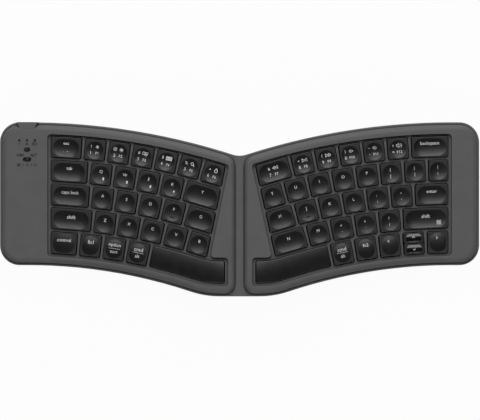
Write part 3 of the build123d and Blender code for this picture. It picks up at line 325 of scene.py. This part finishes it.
def capPlastic(name, polish=1.0, rim=capLook["rimRoughness"]):
    # The flat rim of a cap keeps the mould's grain, its dish or dome is smoother.
    # A cap with no rim is smooth all over.
    material, tree, shader, place = newFinish(name)
    dish = 1.0
    if rim:
        above = calc(tree, "SUBTRACT", tiltedLevel(tree, place), capLook["capTop"])
        away = calc(tree, "ABSOLUTE", above)
        dish = between(tree, away, capLook["dishStart"], capLook["dishFull"], smooth=True)
    patches = cloud(tree, place, capLook["patchSize"], detail=2)
    grain = cloud(tree, place, capLook["grainSize"], detail=3, contrast=1.2)
    dark = tuple(c * (1 - capLook["unevenness"]) for c in capLook["colour"])
    pale = tuple(c * (1 + capLook["unevenness"]) for c in capLook["colour"])
    tint = blendColours(tree, patches, dark, pale)
    dust = cloud(tree, place, capLook["dustSize"], detail=2)
    speck = between(tree, dust, *capLook["dustShare"])
    dusty = tuple(c + capLook["dust"] for c in pale)
    tree.links.new(blendColours(tree, speck, tint, dusty), shader.inputs["Base Color"])
    low, high = (rough * polish for rough in capLook["dishRoughness"])
    # A mix node's plain numbers are its inputs 2 and 3 and its output 0
    roughness = addNode(tree, "ShaderNodeMix", data_type="FLOAT")
    feed(tree, roughness.inputs[0], dish)
    feed(tree, roughness.inputs[2], rim or capLook["rimRoughness"])
    feed(tree, roughness.inputs[3], between(tree, patches, 0, 1, low, high))
    tree.links.new(roughness.outputs[0], shader.inputs["Roughness"])
    softened = calc(tree, "MULTIPLY", grain, between(tree, dish, 0, 1, 1.0, capLook["dishGrain"]))
    roughen(tree, shader, softened, capLook["grainDepth"])
    shader.inputs["Specular IOR Level"].default_value = capLook["specular"]
    return material


steelLook = {
    "crystalSize": 5, "crystalShade": (0.82, 1.06), "rollSize": 0.5, "rollStretch": 0.04,
    "darkest": 0.8, "smoother": 0.06, "rougher": 0.08, "relief": 0.004,
}


def plateSteel(name, colour, roughness):
    # Zinc-plated sheet: crystal patches and fine rolling lines along X
    material, tree, shader, place = newFinish(name)
    crystals = {"Vector": place, "Scale": 1 / (steelLook["crystalSize"] * mm)}
    spangle = addNode(tree, "ShaderNodeTexVoronoi", crystals).outputs["Color"]
    shade = between(tree, spangle, 0, 1, *steelLook["crystalShade"])
    along = (steelLook["rollStretch"], 1, 1)
    rolled = cloud(tree, place, steelLook["rollSize"], detail=2, stretch=along)
    dark = tuple(c * steelLook["darkest"] for c in colour)
    tint = blendColours(tree, calc(tree, "MULTIPLY", shade, rolled), dark, colour)
    tree.links.new(tint, shader.inputs["Base Color"])
    low, high = roughness - steelLook["smoother"], roughness + steelLook["rougher"]
    tree.links.new(between(tree, rolled, 0, 1, low, high), shader.inputs["Roughness"])
    shader.inputs["Metallic"].default_value = 1
    roughen(tree, shader, rolled, steelLook["relief"])
    return material


# Finishes whose colour, sheen and relief all follow one soft noise
plainLooks = {
    "screwSteel": {
        "size": 0.6, "detail": 4, "contrast": 1.5, "low": (0.030, 0.030, 0.033),
        "high": (0.085, 0.082, 0.080), "roughness": (0.42, 0.28), "metallic": 0.9, "relief": 0.006},
    "leadCover": {
        "size": 1.2, "detail": 3, "low": (0.36, 0.020, 0.015), "high": (0.48, 0.035, 0.022),
        "roughness": (0.34, 0.48), "relief": 0.01},
    "frostedLight": {
        "size": 0.2, "detail": 3, "low": (0.006, 0.006, 0.006), "high": (0.012, 0.012, 0.012),
        "roughness": (0.3, 0.5), "specular": 0.25, "relief": 0.01},
    "keyInk": {
        "size": 0.3, "detail": 4, "low": (0.62, 0.62, 0.61), "high": (0.76, 0.76, 0.75),
        "roughness": (0.45, 0.6), "relief": 0.003},
    "panelInk": {
        "size": 0.3, "detail": 4, "low": (0.008, 0.008, 0.008), "high": (0.004, 0.004, 0.004),
        "roughness": (0.45, 0.6), "relief": 0.003},
}


def plainFinish(name):
    look = plainLooks[name]
    material, tree, shader, place = newFinish(name)
    noise = cloud(tree, place, look["size"], look["detail"], contrast=look.get("contrast", 1.0))
    tint = blendColours(tree, noise, look["low"], look["high"])
    tree.links.new(tint, shader.inputs["Base Color"])
    tree.links.new(between(tree, noise, 0, 1, *look["roughness"]), shader.inputs["Roughness"])
    shader.inputs["Metallic"].default_value = look.get("metallic", 0.0)
    shader.inputs["Specular IOR Level"].default_value = look.get("specular", 0.5)
    roughen(tree, shader, noise, look["relief"])
    return material


rubberLooks = {
    "domeRubber": {"colour": (0.50, 0.51, 0.51), "grainSize": 0.3, "grainDepth": 0.01, "scatter": 0.15},
    "footRubber": {"colour": (0.020, 0.020, 0.021), "grainSize": 0.5, "grainDepth": 0.03, "scatter": 0.0},
    "all": {"mottleSize": 3, "shades": (0.9, 1.08), "roughness": (0.62, 0.78), "scatterDepth": 0.8},
}


def softRubber(name):
    look = {**rubberLooks["all"], **rubberLooks[name]}
    material, tree, shader, place = newFinish(name)
    mottle = cloud(tree, place, look["mottleSize"], detail=3)
    grain = cloud(tree, place, look["grainSize"], detail=3)
    dark, pale = (tuple(c * shade for c in look["colour"]) for shade in look["shades"])
    tree.links.new(blendColours(tree, mottle, dark, pale), shader.inputs["Base Color"])
    tree.links.new(between(tree, mottle, 0, 1, *look["roughness"]), shader.inputs["Roughness"])
    shader.inputs["Subsurface Weight"].default_value = look["scatter"]
    shader.inputs["Subsurface Radius"].default_value = (look["scatterDepth"] * mm,) * 3
    roughen(tree, shader, grain, look["grainDepth"])
    return material


filmLook = {
    "film": (0.58, 0.62, 0.55), "track": (0.36, 0.37, 0.38), "trackPitch": 1.6, "trackShare": 0.45,
    "bendSize": 12, "bends": 12.0, "step": 3.0, "roughness": (0.22, 0.45), "metallic": (0.0, 0.7),
    "relief": 0.02,
}


def printedFilm():
    # Pale film with silver tracks that run along X and step across it
    material, tree, shader, place = newFinish("printedFilm")
    warp = cloud(tree, place, filmLook["bendSize"], detail=0)
    parts = addNode(tree, "ShaderNodeSeparateXYZ", {"Vector": place})
    steps = calc(tree, "SNAP", calc(tree, "MULTIPLY", warp, filmLook["bends"]), filmLook["step"])
    lanes = calc(tree, "MULTIPLY", parts.outputs["Y"], 1 / (filmLook["trackPitch"] * mm))
    lane = calc(tree, "FRACT", calc(tree, "ADD", lanes, steps))
    track = calc(tree, "LESS_THAN", lane, filmLook["trackShare"])
    tint = blendColours(tree, track, filmLook["film"], filmLook["track"])
    tree.links.new(tint, shader.inputs["Base Color"])
    tree.links.new(between(tree, track, 0, 1, *filmLook["roughness"]), shader.inputs["Roughness"])
    tree.links.new(between(tree, track, 0, 1, *filmLook["metallic"]), shader.inputs["Metallic"])
    roughen(tree, shader, track, filmLook["relief"])
    return material


boardLook = {
    "mask": (0.012, 0.085, 0.035), "track": (0.030, 0.16, 0.065), "trackPitch": 1.5, "gap": 0.09,
    "gapFade": 0.1, "trackLength": 2.6, "trackRelief": 0.03, "grainSize": 0.25, "grainDepth": 0.004,
    "chip": (0.012, 0.012, 0.013), "chipLevel": -7.33, "chipFade": 0.05,
    "rim": (0.33, 0.30, 0.14), "rimDrop": 0.15, "roughness": (0.28, 0.5),
}


def circuitBoard():
    # Green solder mask over tracks; whatever stands above the board is black plastic
    material, tree, shader, place = newFinish("circuitBoard")
    level = tiltedLevel(tree, place)
    top = boardLook["chipLevel"]
    chip = between(tree, level, top, top + boardLook["chipFade"])
    rim = calc(tree, "LESS_THAN", level, top - boardLook["rimDrop"])
    tiles = addNode(tree, "ShaderNodeTexBrick", {
        "Vector": place, "Scale": 1 / (boardLook["trackPitch"] * mm), "Bias": 0.0,
        "Mortar Size": boardLook["gap"], "Mortar Smooth": boardLook["gapFade"],
        "Brick Width": boardLook["trackLength"], "Row Height": 1.0})
    lines = calc(tree, "SUBTRACT", 1.0, tiles.outputs["Fac"])
    green = blendColours(tree, lines, boardLook["track"], boardLook["mask"])
    edged = blendColours(tree, rim, green, boardLook["rim"])
    tree.links.new(blendColours(tree, chip, edged, boardLook["chip"]), shader.inputs["Base Color"])
    tree.links.new(between(tree, chip, 0, 1, *boardLook["roughness"]), shader.inputs["Roughness"])
    grain = cloud(tree, place, boardLook["grainSize"], detail=3)
    under = roughen(tree, shader, tiles.outputs["Fac"], boardLook["trackRelief"])
    roughen(tree, shader, grain, boardLook["grainDepth"], below=under)
    return material


foilLook = {
    "dull": (0.50, 0.50, 0.49), "bright": (0.66, 0.66, 0.64), "tape": (0.55, 0.38, 0.05),
    "tapeStart": -86, "creaseSize": 2.5, "creaseDepth": 0.12, "roughness": (0.26, 0.42),
    "metallic": (0.85, 0.0),
}


def batteryFoil():
    # Crinkled foil pouch with a band of yellow tape across its outer end
    material, tree, shader, place = newFinish("batteryFoil")
    parts = addNode(tree, "ShaderNodeSeparateXYZ", {"Vector": place})
    creases = cloud(tree, place, foilLook["creaseSize"], detail=5, contrast=1.2)
    tape = calc(tree, "LESS_THAN", parts.outputs["X"], foilLook["tapeStart"] * mm)
    foil = blendColours(tree, creases, foilLook["dull"], foilLook["bright"])
    tree.links.new(blendColours(tree, tape, foil, foilLook["tape"]), shader.inputs["Base Color"])
    tree.links.new(between(tree, tape, 0, 1, *foilLook["metallic"]), shader.inputs["Metallic"])
    tree.links.new(between(tree, creases, 0, 1, *foilLook["roughness"]), shader.inputs["Roughness"])
    roughen(tree, shader, creases, foilLook["creaseDepth"])
    return material


finishes = {
    "top_case": mouldedPlastic("casePlastic", caseLook),
    "bottom_case": mouldedPlastic("bottomPlastic", bottomLook),
    "key_frame": mouldedPlastic("framePlastic", frameLook),
    "dome_sheet": softRubber("domeRubber"),
    "circuit_film": printedFilm(),
    "backing_plate": plateSteel("plateSteel", (0.56, 0.57, 0.58), 0.36),
    "controller_board": circuitBoard(),
    "charging_port": plateSteel("portSteel", (0.62, 0.62, 0.63), 0.22),
    "switch_housings": plateSteel("housingSteel", (0.55, 0.55, 0.55), 0.30),
    "light_pipe": plainFinish("frostedLight"),
    "battery_pack": batteryFoil(),
    "battery_lead": plainFinish("leadCover"),
    "case_screws": plainFinish("screwSteel"),
    "plate_screws": plateSteel("screwZinc", (0.50, 0.51, 0.52), 0.30),
    "rubber_feet": softRubber("footRubber"),
    "layout_switch_knob": mouldedPlastic("knobPlastic", switchLook),
    "space_wire": plateSteel("wireSteel", (0.60, 0.60, 0.60), 0.25),
    "key": capPlastic("capPlastic"),
    "key_space": capPlastic("spacePlastic", capLook["spacePolish"], rim=None),
    "key_arrow_up": capPlastic("pillPlastic", capLook["pillPolish"], capLook["pillRim"]),
}
finishes["key_arrow_down"] = finishes["key_arrow_up"]
finishes["mode_switch_knob"] = finishes["layout_switch_knob"]


def finishOf(name):
    # The longest key that the node's name starts with
    fits = [start for start in finishes if name.startswith(start)]
    return finishes[max(fits, key=len)]


for name, piece in nodes.items():
    for holder in piece.material_slots:
        holder.material = finishOf(name)
print("finishes set on", len(nodes), "nodes")

# Where the keys are. Rows are arcs about one centre per half, and u runs along them.
keyField = {
    "centreInset": 167.2, "centreY": -460.7, "firstRadius": 510.3, "pitch": 18.82,
    "depth": 17.15, "bottomDepth": 17.8, "width": 17.39, "web": 1.66, "gap": 0.45,
    "halfGap": 0.6, "dishedRows": 4,
    "outerReach": {"left": 149.6, "right": 165.5},
    "innerReach": {"left": 10.95, "right": 12.0},
    "innerY": {"left": 33.3, "right": 34.9},
    "innerSlope": {"left": 0.206, "right": 0.22},
}
keyRows = {
    "left": [
        [("esc", 25.1), "1", "2", "3", "4", "5", "6"],
        [("tab", 29.8), "q", "w", "e", "r", "t"],
        [("caps_lock", 31.1), "a", "s", "d", "f", "g"],
        [("shift_left", 33.0), "z", "x", "c", "v", "b"],
        [("control", 21.5), "fn1", "alt_left", "command_left"],
    ],
    "right": [
        [("backspace", 30.0), "equals", "minus", "0", "9", "8", "7"],
        [("backslash", 16.4), "bracket_close", "bracket_open", "p", "o", "i", "u", "y"],
        [("enter", 27.0), "quote", "semicolon", "l", "k", "j", "h"],
        [("shift_right", 36.5), "slash", "period", "comma", "m", "n"],
        [("arrow_right", 17.4), "arrow_up_down", "arrow_left", "fn2", "command_right"],
    ],
}
KeySpot = namedtuple("KeySpot", "x y turn")


def innerReachOnRow(side, radius):
    slope = keyField["innerSlope"][side]
    start = keyField["centreInset"] - keyField["innerReach"][side]
    level = start - slope * keyField["innerY"][side]
    steepness = hypot(1, slope)
    across = (level + slope * keyField["centreY"]) / (radius * steepness)
    return radius * (atan(slope) + asin(across))


def keySpot(side, radius, reach):
    # A place on a row, seen from above, and the key's turn there
    way = -1 if side == "left" else 1
    angle = reach / radius
    x = way * (keyField["centreInset"] - radius * sin(angle))
    y = keyField["centreY"] + radius * cos(angle)
    return KeySpot(x, y, way * angle)


def findKeys():
    spots = {}
    field = keyField
    dished = field["dishedRows"]
    radii = [field["firstRadius"] - row * field["pitch"] for row in range(dished)]
    radii.append(radii[-1] - field["depth"] / 2 - field["web"] - field["bottomDepth"] / 2)
    for side, rows in keyRows.items():
        outer = field["centreInset"] - field["outerReach"][side]
        for row, names in enumerate(rows):
            radius = radii[row]
            start = radius * asin(outer / radius)
            for name in names:
                last = row < dished and name == names[-1]
                name, width = name if isinstance(name, tuple) else (name, field["width"])
                if last:
                    width = innerReachOnRow(side, radius) - start
                middle = start + width / 2
                spots[name] = keySpot(side, radius, middle)
                if name == "arrow_up_down":
                    shift = (field["bottomDepth"] / 2 + field["gap"] + field["halfGap"] / 2) / 2
                    for half, step in (("arrow_up", shift), ("arrow_down", -shift)):
                        spots[half] = keySpot(side, radius + step, middle * (1 + step / radius))
                start += width + field["web"]
    return spots


keySpots = findKeys()

# What is printed on each key: u to the right and v to the rear of the key's middle, in mm.
# letter gives the type size, word gives the printed width, icon gives its size.
# keyLayout holds the places, and the type sizes, that many keys share.
keyLayout = {
    "letter": (0, 2.1, 3.3), "cornerIcon": (2.3, -3.3),
    "symbol": (-3.1, 2.5, 3.2), "digit": (-3.2, -2.5, 3.4), "numberIcon": (1.8, 2.4),
    "function": (1.8, -2.6, 3.0), "longLabel": 0.7,
    "upper": (-0.5, 2.3, 3.0), "lower": (-0.5, -2.6, 3.0),
}


def letter(text, u, v, size):
    return ("letter", text, u, v, size)


def word(text, u, v, width):
    return ("word", text, u, v, width)


def icon(shape, u, v, size):
    return ("icon", shape, u, v, size)


def numberKey(symbol, digit, shape, size, function):
    # The three longer labels push the rest of their key's print aside
    aside = keyLayout["longLabel"] if len(function) > 2 else 0.0

    def moved(kind):
        u, v, *height = keyLayout[kind]
        return (u - aside, v, *height)

    return [letter(symbol, *moved("symbol")), letter(digit, *moved("digit")),
            icon(shape, *moved("numberIcon"), size), letter(function, *moved("function"))]


def doubleKey(upper, lower):
    return [letter(upper, *keyLayout["upper"]), letter(lower, *keyLayout["lower"])]


letterKeys = "qwertyuiopasdfghjklzxcvbnm"
keyPrint = {name: [letter(name.upper(), *keyLayout["letter"])] for name in letterKeys}
cornerIcons = {"q": ("tablet", 2.5), "w": ("tablet", 2.5), "e": ("tablet", 2.5), "r": ("fan", 2.7)}
for name, (shape, size) in cornerIcons.items():
    keyPrint[name].append(icon(shape, *keyLayout["cornerIcon"], size))
keyPrint.update({
    "1": numberKey("!", "1", "dim", 3.0, "F1"), "2": numberKey("@", "2", "sun", 3.3, "F2"),
    "3": numberKey("#", "3", "panes", 4.8, "F3"), "4": numberKey("$", "4", "tiles", 5.0, "F4"),
    "5": numberKey("%", "5", "magnifier", 3.8, "F5"), "6": numberKey("^", "6", "ring", 4.2, "F6"),
    "7": numberKey("&", "7", "previous", 4.6, "F7"), "8": numberKey("*", "8", "play", 4.8, "F8"),
    "9": numberKey("(", "9", "next", 4.8, "F9"), "0": numberKey(")", "0", "mute", 3.4, "F10"),
    "minus": numberKey("_", "-", "quieter", 3.8, "F11"),
    "equals": numberKey("+", "=", "louder", 4.6, "F12"),
    "bracket_open": doubleKey("{", "["), "bracket_close": doubleKey("}", "]"),
    "backslash": doubleKey("|", "\\"), "semicolon": doubleKey(":", ";"),
    "quote": doubleKey("\"", "'"), "comma": doubleKey("<", ","),
    "period": doubleKey(">", "."), "slash": doubleKey("?", "/"),
    "esc": [word("esc", 0, 3.0, 4.4), letter("`", -2.0, -3.2, 2.4), letter("~", 1.3, -3.2, 2.4)],
    "tab": [word("tab", 0, 2.6, 4.5)],
    "caps_lock": [word("caps lock", 0, 2.0, 13.6)],
    "shift_left": [word("shift", 0, 1.8, 6.6)],
    "shift_right": [word("shift", 0, 1.8, 6.6), icon("lens", 10.2, -3.4, 3.2)],
    "backspace": [word("backspace", 0, 2.5, 15.0)],
    "enter": [word("enter", 0, 2.2, 8.2)],
    "control": [word("control", 0, 2.5, 10.8)],
    "fn1": [word("fn1", 0, 2.8, 4.5)], "fn2": [word("fn2", 0, 2.8, 4.5)],
    "alt_left": [word("option", 0, 2.8, 9.6), icon("line", 0, 0.2, 9.2), word("start", 0, -2.4, 6.0)],
    "command_left": [word("cmd", 0, 2.9, 7.0), icon("line", 0, 0.3, 9.0), word("alt", 0, -2.4, 3.5)],
    "command_right": [word("cmd", 0, 2.9, 7.0), icon("line", 0, 0.3, 9.0), word("alt", 0, -2.4, 3.5)],
    "arrow_left": [icon("lessThan", -0.8, 3.5, 2.4)],
    "arrow_right": [icon("moreThan", -0.8, 3.5, 2.4)],
    "arrow_up": [icon("upMark", 0, 0, 2.4)],
    "arrow_down": [icon("downMark", 0, 0, 2.4)],
})

# Left panel: places seen from above, in mm, and dark print
panel = {"x": -168.3, "step": 6.2, "bezelShift": 0.2, "bezels": 54.4, "lights": 51.6, "layout": 42.7,
         "mode": 34.9}
panelPrint = [icon("bezel", panel["x"] + panel["bezelShift"] + place * panel["step"], panel["bezels"], 2.0)
              for place in (-1, 0, 1)]
panelPrint += [
    icon("bolt", panel["x"] - panel["step"], panel["lights"], 2.2),
    letter("A", panel["x"], panel["lights"], 2.9),
    icon("battery", panel["x"] + panel["step"], panel["lights"], 3.8),
    word("CMD", panel["x"] - 5.3, panel["layout"], 6.0),
    word("ALT", panel["x"] + 5.5, panel["layout"], 5.6),
    word("RF", panel["x"] - 6.2, panel["mode"], 3.1),
    letter("/", panel["x"] - 3.0, panel["mode"], 2.6),
    icon("power", panel["x"] + 0.4, panel["mode"], 2.9),
    letter("/", panel["x"] + 3.8, panel["mode"], 2.6),
    icon("plugMark", panel["x"] + 7.0, panel["mode"], 2.7),
]

# Neighbours that share a node: the node's name and the keys on it
sharedNodes = {
    "keys_1_to_5": "1 2 3 4 5", "keys_q_to_r": "q w e r", "keys_a_to_d": "a s d",
    "keys_z_to_v": "z x c v", "keys_8_to_equals": "8 9 0 minus equals",
    "keys_u_to_bracket": "u i o p bracket_open bracket_close",
    "keys_k_to_quote": "k l semicolon quote", "keys_m_to_slash": "m comma period slash",
}
printLook = {
    "rise": 0.015, "longest": 0.7, "splits": 4, "dropFrom": 10, "curveSteps": 3, "panelWeight": 0.05,
    "ringSteps": 24, "sharpest": 0.5,
}
strokes = {"fine": 0.065, "drawn": 0.075, "plain": 0.11, "bold": 0.15}


def outline(points, closed=True, width=strokes["plain"]):
    # A stroke of even width about a line of points, as quads
    found, faces = [], []
    count = len(points)
    for index, point in enumerate(points):
        here = Vector(point)
        ahead = Vector(points[(index + 1) % count]) - here
        behind = here - Vector(points[index - 1])
        if not closed and index == 0:
            behind = ahead
        if not closed and index == count - 1:
            ahead = behind
        side = (ahead.normalized() + behind.normalized()).normalized()
        across = Vector((-side.y, side.x))
        aligned = across.dot(Vector((-ahead.y, ahead.x)).normalized())
        spread = width / 2 / max(printLook["sharpest"], aligned)
        found += [here + across * spread, here - across * spread]
    for index in range(count if closed else count - 1):
        a, b = 2 * index, 2 * ((index + 1) % count)
        faces.append((a, b, b + 1, a + 1))
    return found, faces


def fine(*points):
    return outline(points, closed=False, width=strokes["fine"])


def bold(*points):
    return outline(points, closed=False, width=strokes["bold"])


def solid(points):
    return [Vector(point) for point in points], [tuple(range(len(points)))]


def circlePoints(radius, x=0.0, y=0.0, start=0.0, end=360.0):
    full = end - start >= 360
    steps = printLook["ringSteps"]
    count = steps if full else max(4, round(steps * (end - start) / 360)) + 1
    spans = count if full else count - 1
    return [(x + radius * cos(radians(start + (end - start) * k / spans)),
             y + radius * sin(radians(start + (end - start) * k / spans))) for k in range(count)]


def rectangle(x, y, wide, high):
    return [(x - wide / 2, y - high / 2), (x + wide / 2, y - high / 2),
            (x + wide / 2, y + high / 2), (x - wide / 2, y + high / 2)]


def rays(inner, outer, count=8):
    made = []
    for k in range(count):
        turn = 2 * pi * k / count
        made.append(outline([(inner * cos(turn), inner * sin(turn)),
                             (outer * cos(turn), outer * sin(turn))], closed=False))
    return made


def triangle(tip, base, half=0.26):
    # An outlined triangle that points along X from its base to its tip
    return outline([(tip, 0), (base, half), (base, -half)], width=strokes["drawn"])


speaker = outline([(-0.46, -0.16), (-0.28, -0.16), (-0.04, -0.34), (-0.04, 0.34), (-0.28, 0.16),
                   (-0.46, 0.16)], width=strokes["drawn"])
iconShapes = {
    "sun": [solid(circlePoints(0.21))] + rays(0.28, 0.47),
    "dim": [solid(circlePoints(0.23))] + rays(0.29, 0.42),
    "panes": [outline(rectangle(-0.27, 0.06, 0.36, 0.42), width=strokes["fine"]),
              outline(rectangle(0.22, 0.12, 0.40, 0.24), width=strokes["fine"]),
              outline(rectangle(0.16, -0.20, 0.28, 0.22), width=strokes["fine"])],
    "tiles": [solid(rectangle(-0.375 + 0.25 * column, 0.22 - 0.22 * row, 0.21, 0.18))
              for column in range(4) for row in range(3)],
    "magnifier": [outline(circlePoints(0.28, -0.08, 0.08)), bold((0.12, -0.12), (0.40, -0.40))],
    "ring": [outline(circlePoints(0.28, 0, -0.06)),
             outline([(-0.16, 0.30), (0, 0.44), (0.16, 0.30)], closed=False)],
    "previous": [triangle(-0.46, -0.06), triangle(0.02, 0.44)],
    "next": [triangle(0.46, 0.06), triangle(-0.02, -0.44)],
    "play": [triangle(0.02, -0.42), fine((0.2, -0.26), (0.2, 0.26)), fine((0.4, -0.26), (0.4, 0.26))],
    "mute": [speaker, fine((0.14, -0.16), (0.42, 0.16)), fine((0.14, 0.16), (0.42, -0.16))],
    "quieter": [speaker, fine(*circlePoints(0.24, 0.0, 0, -50, 50))],
    "louder": [speaker, fine(*circlePoints(0.22, 0.0, 0, -50, 50)),
               fine(*circlePoints(0.44, 0.0, 0, -50, 50))],
    "tablet": [solid(rectangle(0, 0, 0.46, 0.84))],
    "fan": [solid([(0, -0.42), (0.28, 0.24)] + circlePoints(0.36, 0, -0.04, 50, 130) + [(-0.28, 0.24)])],
    "lens": [outline(rectangle(0, 0, 0.90, 0.90), width=0.10), outline(circlePoints(0.22), width=0.12)],
    "bezel": [outline(circlePoints(0.43), width=strokes["bold"])],
    "line": [solid(rectangle(0, 0, 1.0, 0.022))],
    "lessThan": [bold((0.24, 0.42), (-0.24, 0), (0.24, -0.42))],
    "moreThan": [bold((-0.24, 0.42), (0.24, 0), (-0.24, -0.42))],
    "upMark": [bold((-0.42, -0.22), (0, 0.24), (0.42, -0.22))],
    "downMark": [bold((-0.42, 0.22), (0, -0.24), (0.42, 0.22))],
    "bolt": [solid([(0.08, 0.5), (-0.3, -0.06), (-0.04, -0.06), (-0.1, -0.5), (0.3, 0.1), (0.04, 0.1)])],
    "battery": [outline(rectangle(-0.05, 0, 0.8, 0.5)), solid(rectangle(0.42, 0, 0.1, 0.22)),
                solid(rectangle(-0.16, 0, 0.36, 0.26))],
    "power": [outline(circlePoints(0.36, 0, 0, 120, 420), closed=False),
              outline([(0, 0.05), (0, 0.5)], closed=False)],
    "plugMark": [outline(circlePoints(0.3, -0.05, 0, -90, 90) + [(-0.35, 0.3), (-0.35, -0.3)]),
                 outline([(0.25, 0), (0.5, 0)], closed=False)],
}


def wordShapes(marks, weight=0.0):
    # Every printed text as flat points and faces, at type size 1 and centred on its own box
    texts = {mark[1] for mark in marks if mark[0] != "icon"}
    holders = {}
    for text in sorted(texts):
        curve = bpy.data.curves.new("type", "FONT")
        curve.body = text
        curve.size = 1
        curve.offset = weight
        curve.resolution_u = printLook["curveSteps"]
        holders[text] = bpy.data.objects.new("type", curve)
        scene.collection.objects.link(holders[text])
    bpy.context.view_layer.update()
    shapes = {}
    depsgraph = bpy.context.evaluated_depsgraph_get()
    for text, holder in holders.items():
        mesh = bpy.data.meshes.new_from_object(holder.evaluated_get(depsgraph))
        points = [v.co.to_2d() for v in mesh.vertices]
        low = Vector((min(p.x for p in points), min(p.y for p in points)))
        high = Vector((max(p.x for p in points), max(p.y for p in points)))
        middle = (low + high) / 2
        shapes[text] = ([p - middle for p in points], [tuple(f.vertices) for f in mesh.polygons],
                        high.x - low.x)
        bpy.data.meshes.remove(mesh)
        curve = holder.data
        bpy.data.objects.remove(holder)
        bpy.data.curves.remove(curve)
    return shapes


def flatMark(mark, shapes):
    # A mark's outlines in mm about the key's middle
    kind, what, u, v, size = mark
    if kind == "icon":
        groups = [(points, faces, size) for points, faces in iconShapes[what]]
    else:
        points, faces, width = shapes[what]
        groups = [(points, faces, size / width if kind == "word" else size)]
    return [([Vector((u, v)) + point * scale for point in points], faces)
            for points, faces, scale in groups]


def surfaceTree(piece):
    points = [v.co for v in piece.data.vertices]
    return BVHTree.FromPolygons(points, [tuple(f.vertices) for f in piece.data.polygons])


def printOn(nodeName, label, marks, shapes, ink):
    # marks is a list of (mark, spot); every point drops straight down onto the node's top
    tree = surfaceTree(nodes[nodeName])
    drop = cadBox[1].z + printLook["dropFrom"] * mm
    shape = bmesh.new()
    for mark, spot in marks:
        for points, faces in flatMark(mark, shapes):
            made = []
            for point in points:
                x = spot.x + point.x * cos(spot.turn) - point.y * sin(spot.turn)
                y = spot.y + point.x * sin(spot.turn) + point.y * cos(spot.turn)
                made.append(shape.verts.new((x * mm, y * mm, 0)))
            for face in faces:
                if len(set(face)) > 2:
                    shape.faces.new([made[index] for index in face])
    bmesh.ops.triangulate(shape, faces=shape.faces)
    for _ in range(printLook["splits"]):
        long = [e for e in shape.edges if e.calc_length() > printLook["longest"] * mm]
        if not long:
            break
        bmesh.ops.subdivide_edges(shape, edges=long, cuts=1)
        bmesh.ops.triangulate(shape, faces=shape.faces)
    for vertex in shape.verts:
        above = Vector((vertex.co.x, vertex.co.y, drop))
        hit, normal, _, _ = tree.ray_cast(above, Vector((0, 0, -1)))
        vertex.co = hit + normal * printLook["rise"] * mm
    for face in shape.faces:
        if face.normal.z < 0:
            face.normal_flip()
    mesh = bpy.data.meshes.new(label)
    shape.normal_update()
    bmesh.ops.recalc_face_normals(shape, faces=shape.faces)
    shape.to_mesh(mesh)
    shape.free()
    mesh.materials.append(ink)
    piece = bpy.data.objects.new(label, mesh)
    scene.collection.objects.link(piece)
    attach(piece, nodes[nodeName]["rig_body"])


def printKeys():
    shapes = wordShapes([mark for marks in keyPrint.values() for mark in marks])
    keyInk = plainFinish("keyInk")
    groups = {node: names.split() for node, names in sharedNodes.items()}
    grouped = {name for names in groups.values() for name in names}
    groups.update({"key_" + name: [name] for name in keyPrint if name not in grouped})
    for node, names in groups.items():
        marks = [(mark, keySpots[name]) for name in names for mark in keyPrint[name]]
        printOn(node, "legend_" + node, marks, shapes, keyInk)
    panelInk = plainFinish("panelInk")
    shapes = wordShapes(panelPrint, printLook["panelWeight"])
    level = KeySpot(0, 0, 0)
    printOn("top_case", "panel_print", [(mark, level) for mark in panelPrint], shapes, panelInk)
    print("printed", len(groups), "key nodes and the panel")


printKeys()

scene.view_settings.view_transform = "Standard"
